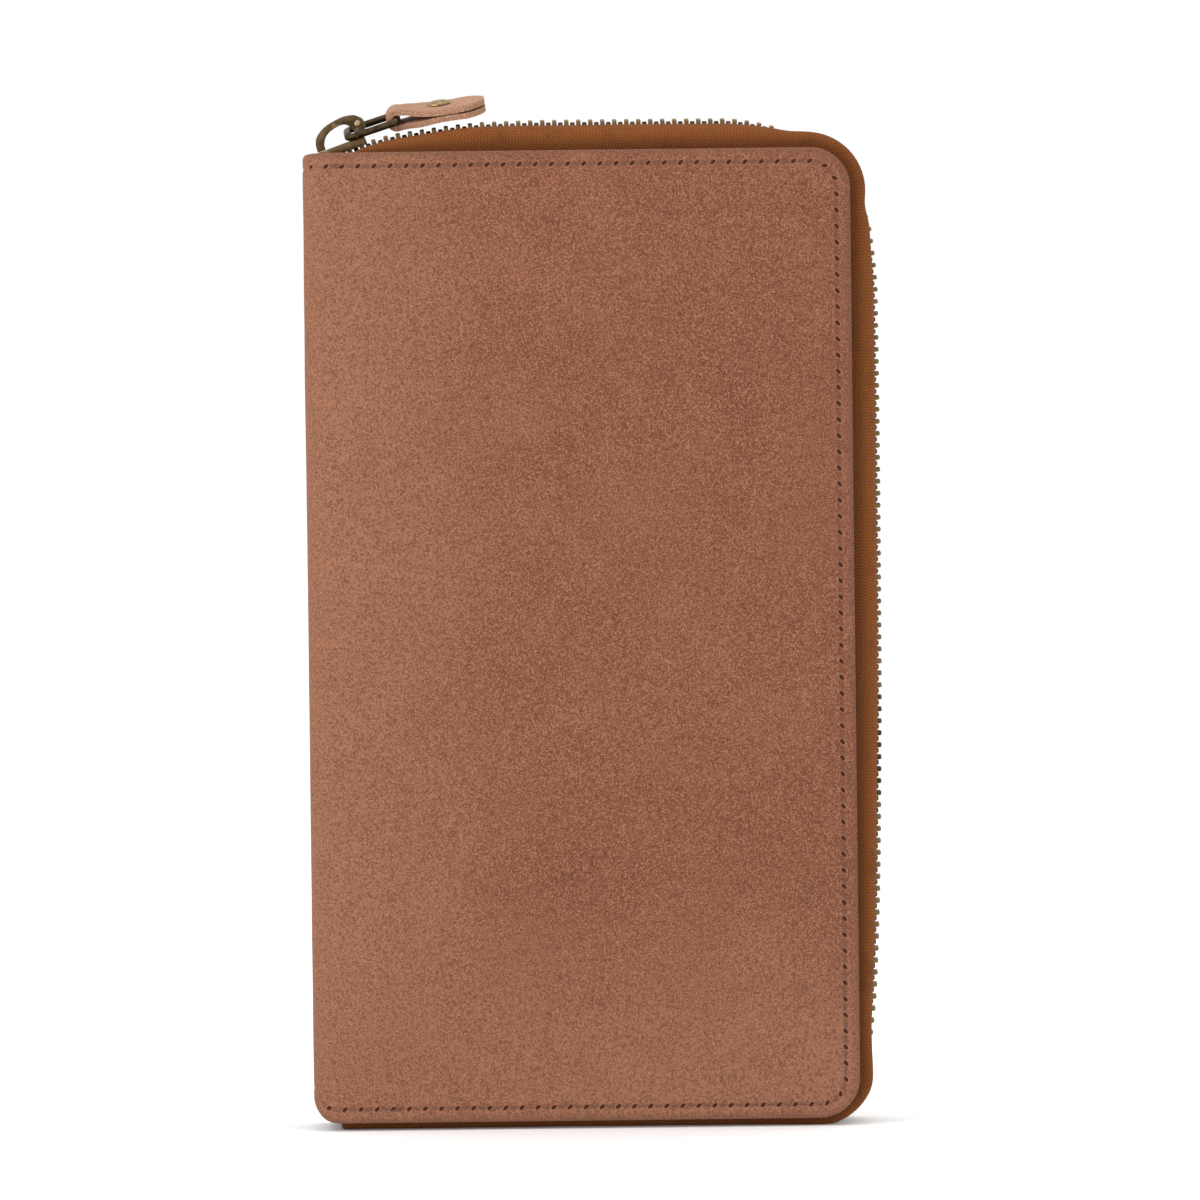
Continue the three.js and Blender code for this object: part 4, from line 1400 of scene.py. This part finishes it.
# ---------------------------------------------------------------- the inside
@dataclass
class Pockets:
    """Panels, card pockets, linings and boards, and the coin pocket with its small zip."""

    finishes: Finishes
    cards: int = 6
    crease_inset: float = 1.6 * MM
    stitch: float = 3.0 * MM

    def panel(self, node: str, body: str) -> None:
        """A leather panel with turned edges, from its CAD node."""
        piece = from_frame(node, f"{node}_panel", 0.14 * MM)
        dress(piece, self.finishes.pocket)
        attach(piece, body)

    def seam(self, body: str, name: str, lines: list[tuple[Vector, Vector]]) -> None:
        """Rows of stitches on a panel.

        Args:
            body: The body it moves with.
            name: The thread's name.
            lines: Each row's two ends.
        """
        sign = -1 if body == "back_cover" else 1
        places = []
        for start, end in lines:
            way = (end - start).normalized()
            off = Vector((0, sign, 0))
            for k in range(int((end - start).length / self.stitch)):
                place = Matrix((way, off.cross(way), off)).transposed().to_4x4()
                place.translation = start + way * (k + 0.5) * self.stitch
                places.append(place)
        thread = stamp(stitch_master(2.3 * MM, 0.16 * MM), places, name)
        dress(thread, self.finishes.thread)
        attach(thread, body)

    def edge_lines(self, node: str, sides: str, sign: int) -> list[tuple[Vector, Vector]]:
        """Stitch rows just inside some of a panel's edges: l, r, t or b."""
        low, high = (Vector(corner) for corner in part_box(node))
        inset = self.crease_inset
        y = (high.y if sign > 0 else low.y) + sign * 0.02 * MM
        x0, x1, z0, z1 = low.x + inset, high.x - inset, low.z + inset, high.z - inset
        ends = {
            "l": ((x0, z0), (x0, z1)),
            "r": ((x1, z0), (x1, z1)),
            "t": ((x0, z1), (x1, z1)),
            "b": ((x0, z0), (x1, z0)),
        }
        return [(Vector((a[0], y, a[1])), Vector((b[0], y, b[1]))) for a, b in (ends[side] for side in sides)]

    def build(self) -> None:
        """Makes the inside."""
        self.panel("front_slip_pocket", "front_cover")
        lines = self.edge_lines("front_slip_pocket", "rtb", 1)
        self.seam("front_cover", "front_slip_thread", lines)
        for k in range(1, self.cards + 1):
            node = f"card_pocket_{k}"
            self.panel(node, "front_cover")
            sides = "lrtb" if k == self.cards else "t"
            self.seam("front_cover", f"{node}_thread", self.edge_lines(node, sides, 1))
        self.panel("note_pocket", "back_cover")
        self.seam("back_cover", "note_pocket_thread", self.edge_lines("note_pocket", "rtb", -1))
        for node, sides in (("coin_pocket_lower", "lrtb"), ("coin_pocket_upper", "lrtb")):
            self.panel(node, "back_cover")
            self.seam("back_cover", f"{node}_thread", self.edge_lines(node, sides, -1))
        cloths = ("front_lining", "back_lining", "spine_lining", "coin_pocket_gusset")
        for node in cloths:
            paint_node(node, self.finishes.lining)
        for node in ("front_board", "back_board"):
            paint_node(node, self.finishes.board)
        weave = Cloth("coin_tape_weave", from_screen(150, 92, 52), from_screen(98, 54, 30), 0.4 * MM).material()
        for node in ("coin_tape_upper", "coin_tape_lower"):
            paint_node(node, weave)
        for node in ("coin_teeth_upper", "coin_teeth_lower"):
            row = from_frame(node, f"{node}_row", 0.06 * MM)
            dress(row, self.finishes.brass)
            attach(row, "back_cover")
        LOG.info("pockets and linings made")


def paint_node(node: str, material: bpy.types.Material) -> None:
    """Gives a CAD node that stays a finished material."""
    mesh = frame["nodes"][node].data
    mesh.materials.clear()
    mesh.materials.append(material)


# ---------------------------------------------------------------- the studio
@dataclass
class Studio:
    """A pale floor and backdrop, soft lights and the camera."""

    body: Body
    lens: float = 360
    sensor: float = 36
    view_height: float = 238.3 * MM
    aim_x: float = 3.8 * MM
    aim_z: float = 7.1 * MM
    elevation: float = math.radians(2.0)
    roll: float = math.radians(-0.68)

    def camera(self) -> None:
        """Adds the camera, square on to the front cover and a little above it."""
        b = self.body
        middle = Vector(((b.spine_x + b.edge_x) / 2, -b.face_y, (b.low_z + b.high_z) / 2))
        aim = middle + Vector((self.aim_x, 0, self.aim_z))
        distance = self.view_height * self.lens / self.sensor
        back = Vector((0, -math.cos(self.elevation), math.sin(self.elevation)))
        data = bpy.data.cameras.new("camera")
        data.lens = self.lens
        data.sensor_width = self.sensor
        data.clip_start = 0.01
        data.clip_end = 20
        camera = bpy.data.objects.new("camera", data)
        bpy.context.scene.collection.objects.link(camera)
        turn = (-back).to_track_quat("-Z", "Y").to_matrix().to_4x4()
        camera.matrix_world = Matrix.Translation(aim + back * distance) @ turn @ Matrix.Rotation(self.roll, 4, "Z")
        bpy.context.scene.camera = camera

    def light(self, name: str, at: tuple, aim: tuple, size: float, power: float, tint: Colour = (1, 1, 1)) -> None:
        """Adds one soft light.

        Args:
            name: The light's name.
            at: Where it is.
            aim: What it points at.
            size: The side of its square.
            power: Watts.
            tint: Its colour.
        """
        data = bpy.data.lights.new(name, "AREA")
        data.energy = power
        data.size = size
        data.color = tint
        lamp = bpy.data.objects.new(name, data)
        bpy.context.scene.collection.objects.link(lamp)
        way = Vector(aim) - Vector(at)
        lamp.matrix_world = Matrix.Translation(Vector(at)) @ way.to_track_quat("-Z", "Y").to_matrix().to_4x4()

    def stage(self) -> None:
        """Adds the floor."""
        s = Shader("studio_paper")
        tooth = s.noise(900, 3, 0.6)
        colour = s.mix(tooth, (0.93, 0.93, 0.93), (0.96, 0.96, 0.96))
        paper = s.finish(colour, 0.9, tooth, 0.02 * MM, Emission_Strength=0.09)
        clear_selection()
        bpy.ops.mesh.primitive_plane_add(size=30, location=(0, 0, 0))
        floor = bpy.context.object
        floor.name = "studio_floor"
        settle(floor)
        floor.data.materials.append(paper)

    def surround(self) -> None:
        """Sets an even white surround."""
        world = bpy.data.worlds.new("studio")
        bpy.context.scene.world = world
        world.use_nodes = True
        world.node_tree.nodes["Background"].inputs["Color"].default_value = (1, 1, 1, 1)
        world.node_tree.nodes["Background"].inputs["Strength"].default_value = 1.0

    def build(self) -> None:
        """Makes the studio."""
        self.camera()
        self.stage()
        self.surround()
        self.light("key", (-0.5, -0.5, 0.5), (-0.04, 0, 0.11), 0.45, 2.2, (1, 0.98, 0.95))
        self.light("fill", (0.9, -0.9, 0.5), (0, 0, 0.1), 0.9, 1.0)
        self.light("top", (0.1, 0.1, 1.2), (0, 0, 0.15), 0.6, 2.4)
        bpy.context.scene.view_settings.view_transform = "Standard"
        LOG.info("studio made")


def main() -> None:
    """Builds the wallet and its studio."""
    logging.basicConfig(level=logging.INFO, format="%(name)s: %(message)s")
    clear_selection()
    body = Body()
    rail = Rail(body)
    finishes = Finishes()
    Studio(body).build()
    for side in Side:
        CoverWrap(side, body, finishes).build()
        ZipTape(side, rail, finishes).build()
        TeethRow(side, rail, finishes).build()
    PullTab(finishes).build()
    Metalwork(finishes).build()
    Pockets(finishes).build()
    clear_selection()


if __name__ == "__main__":
    main()
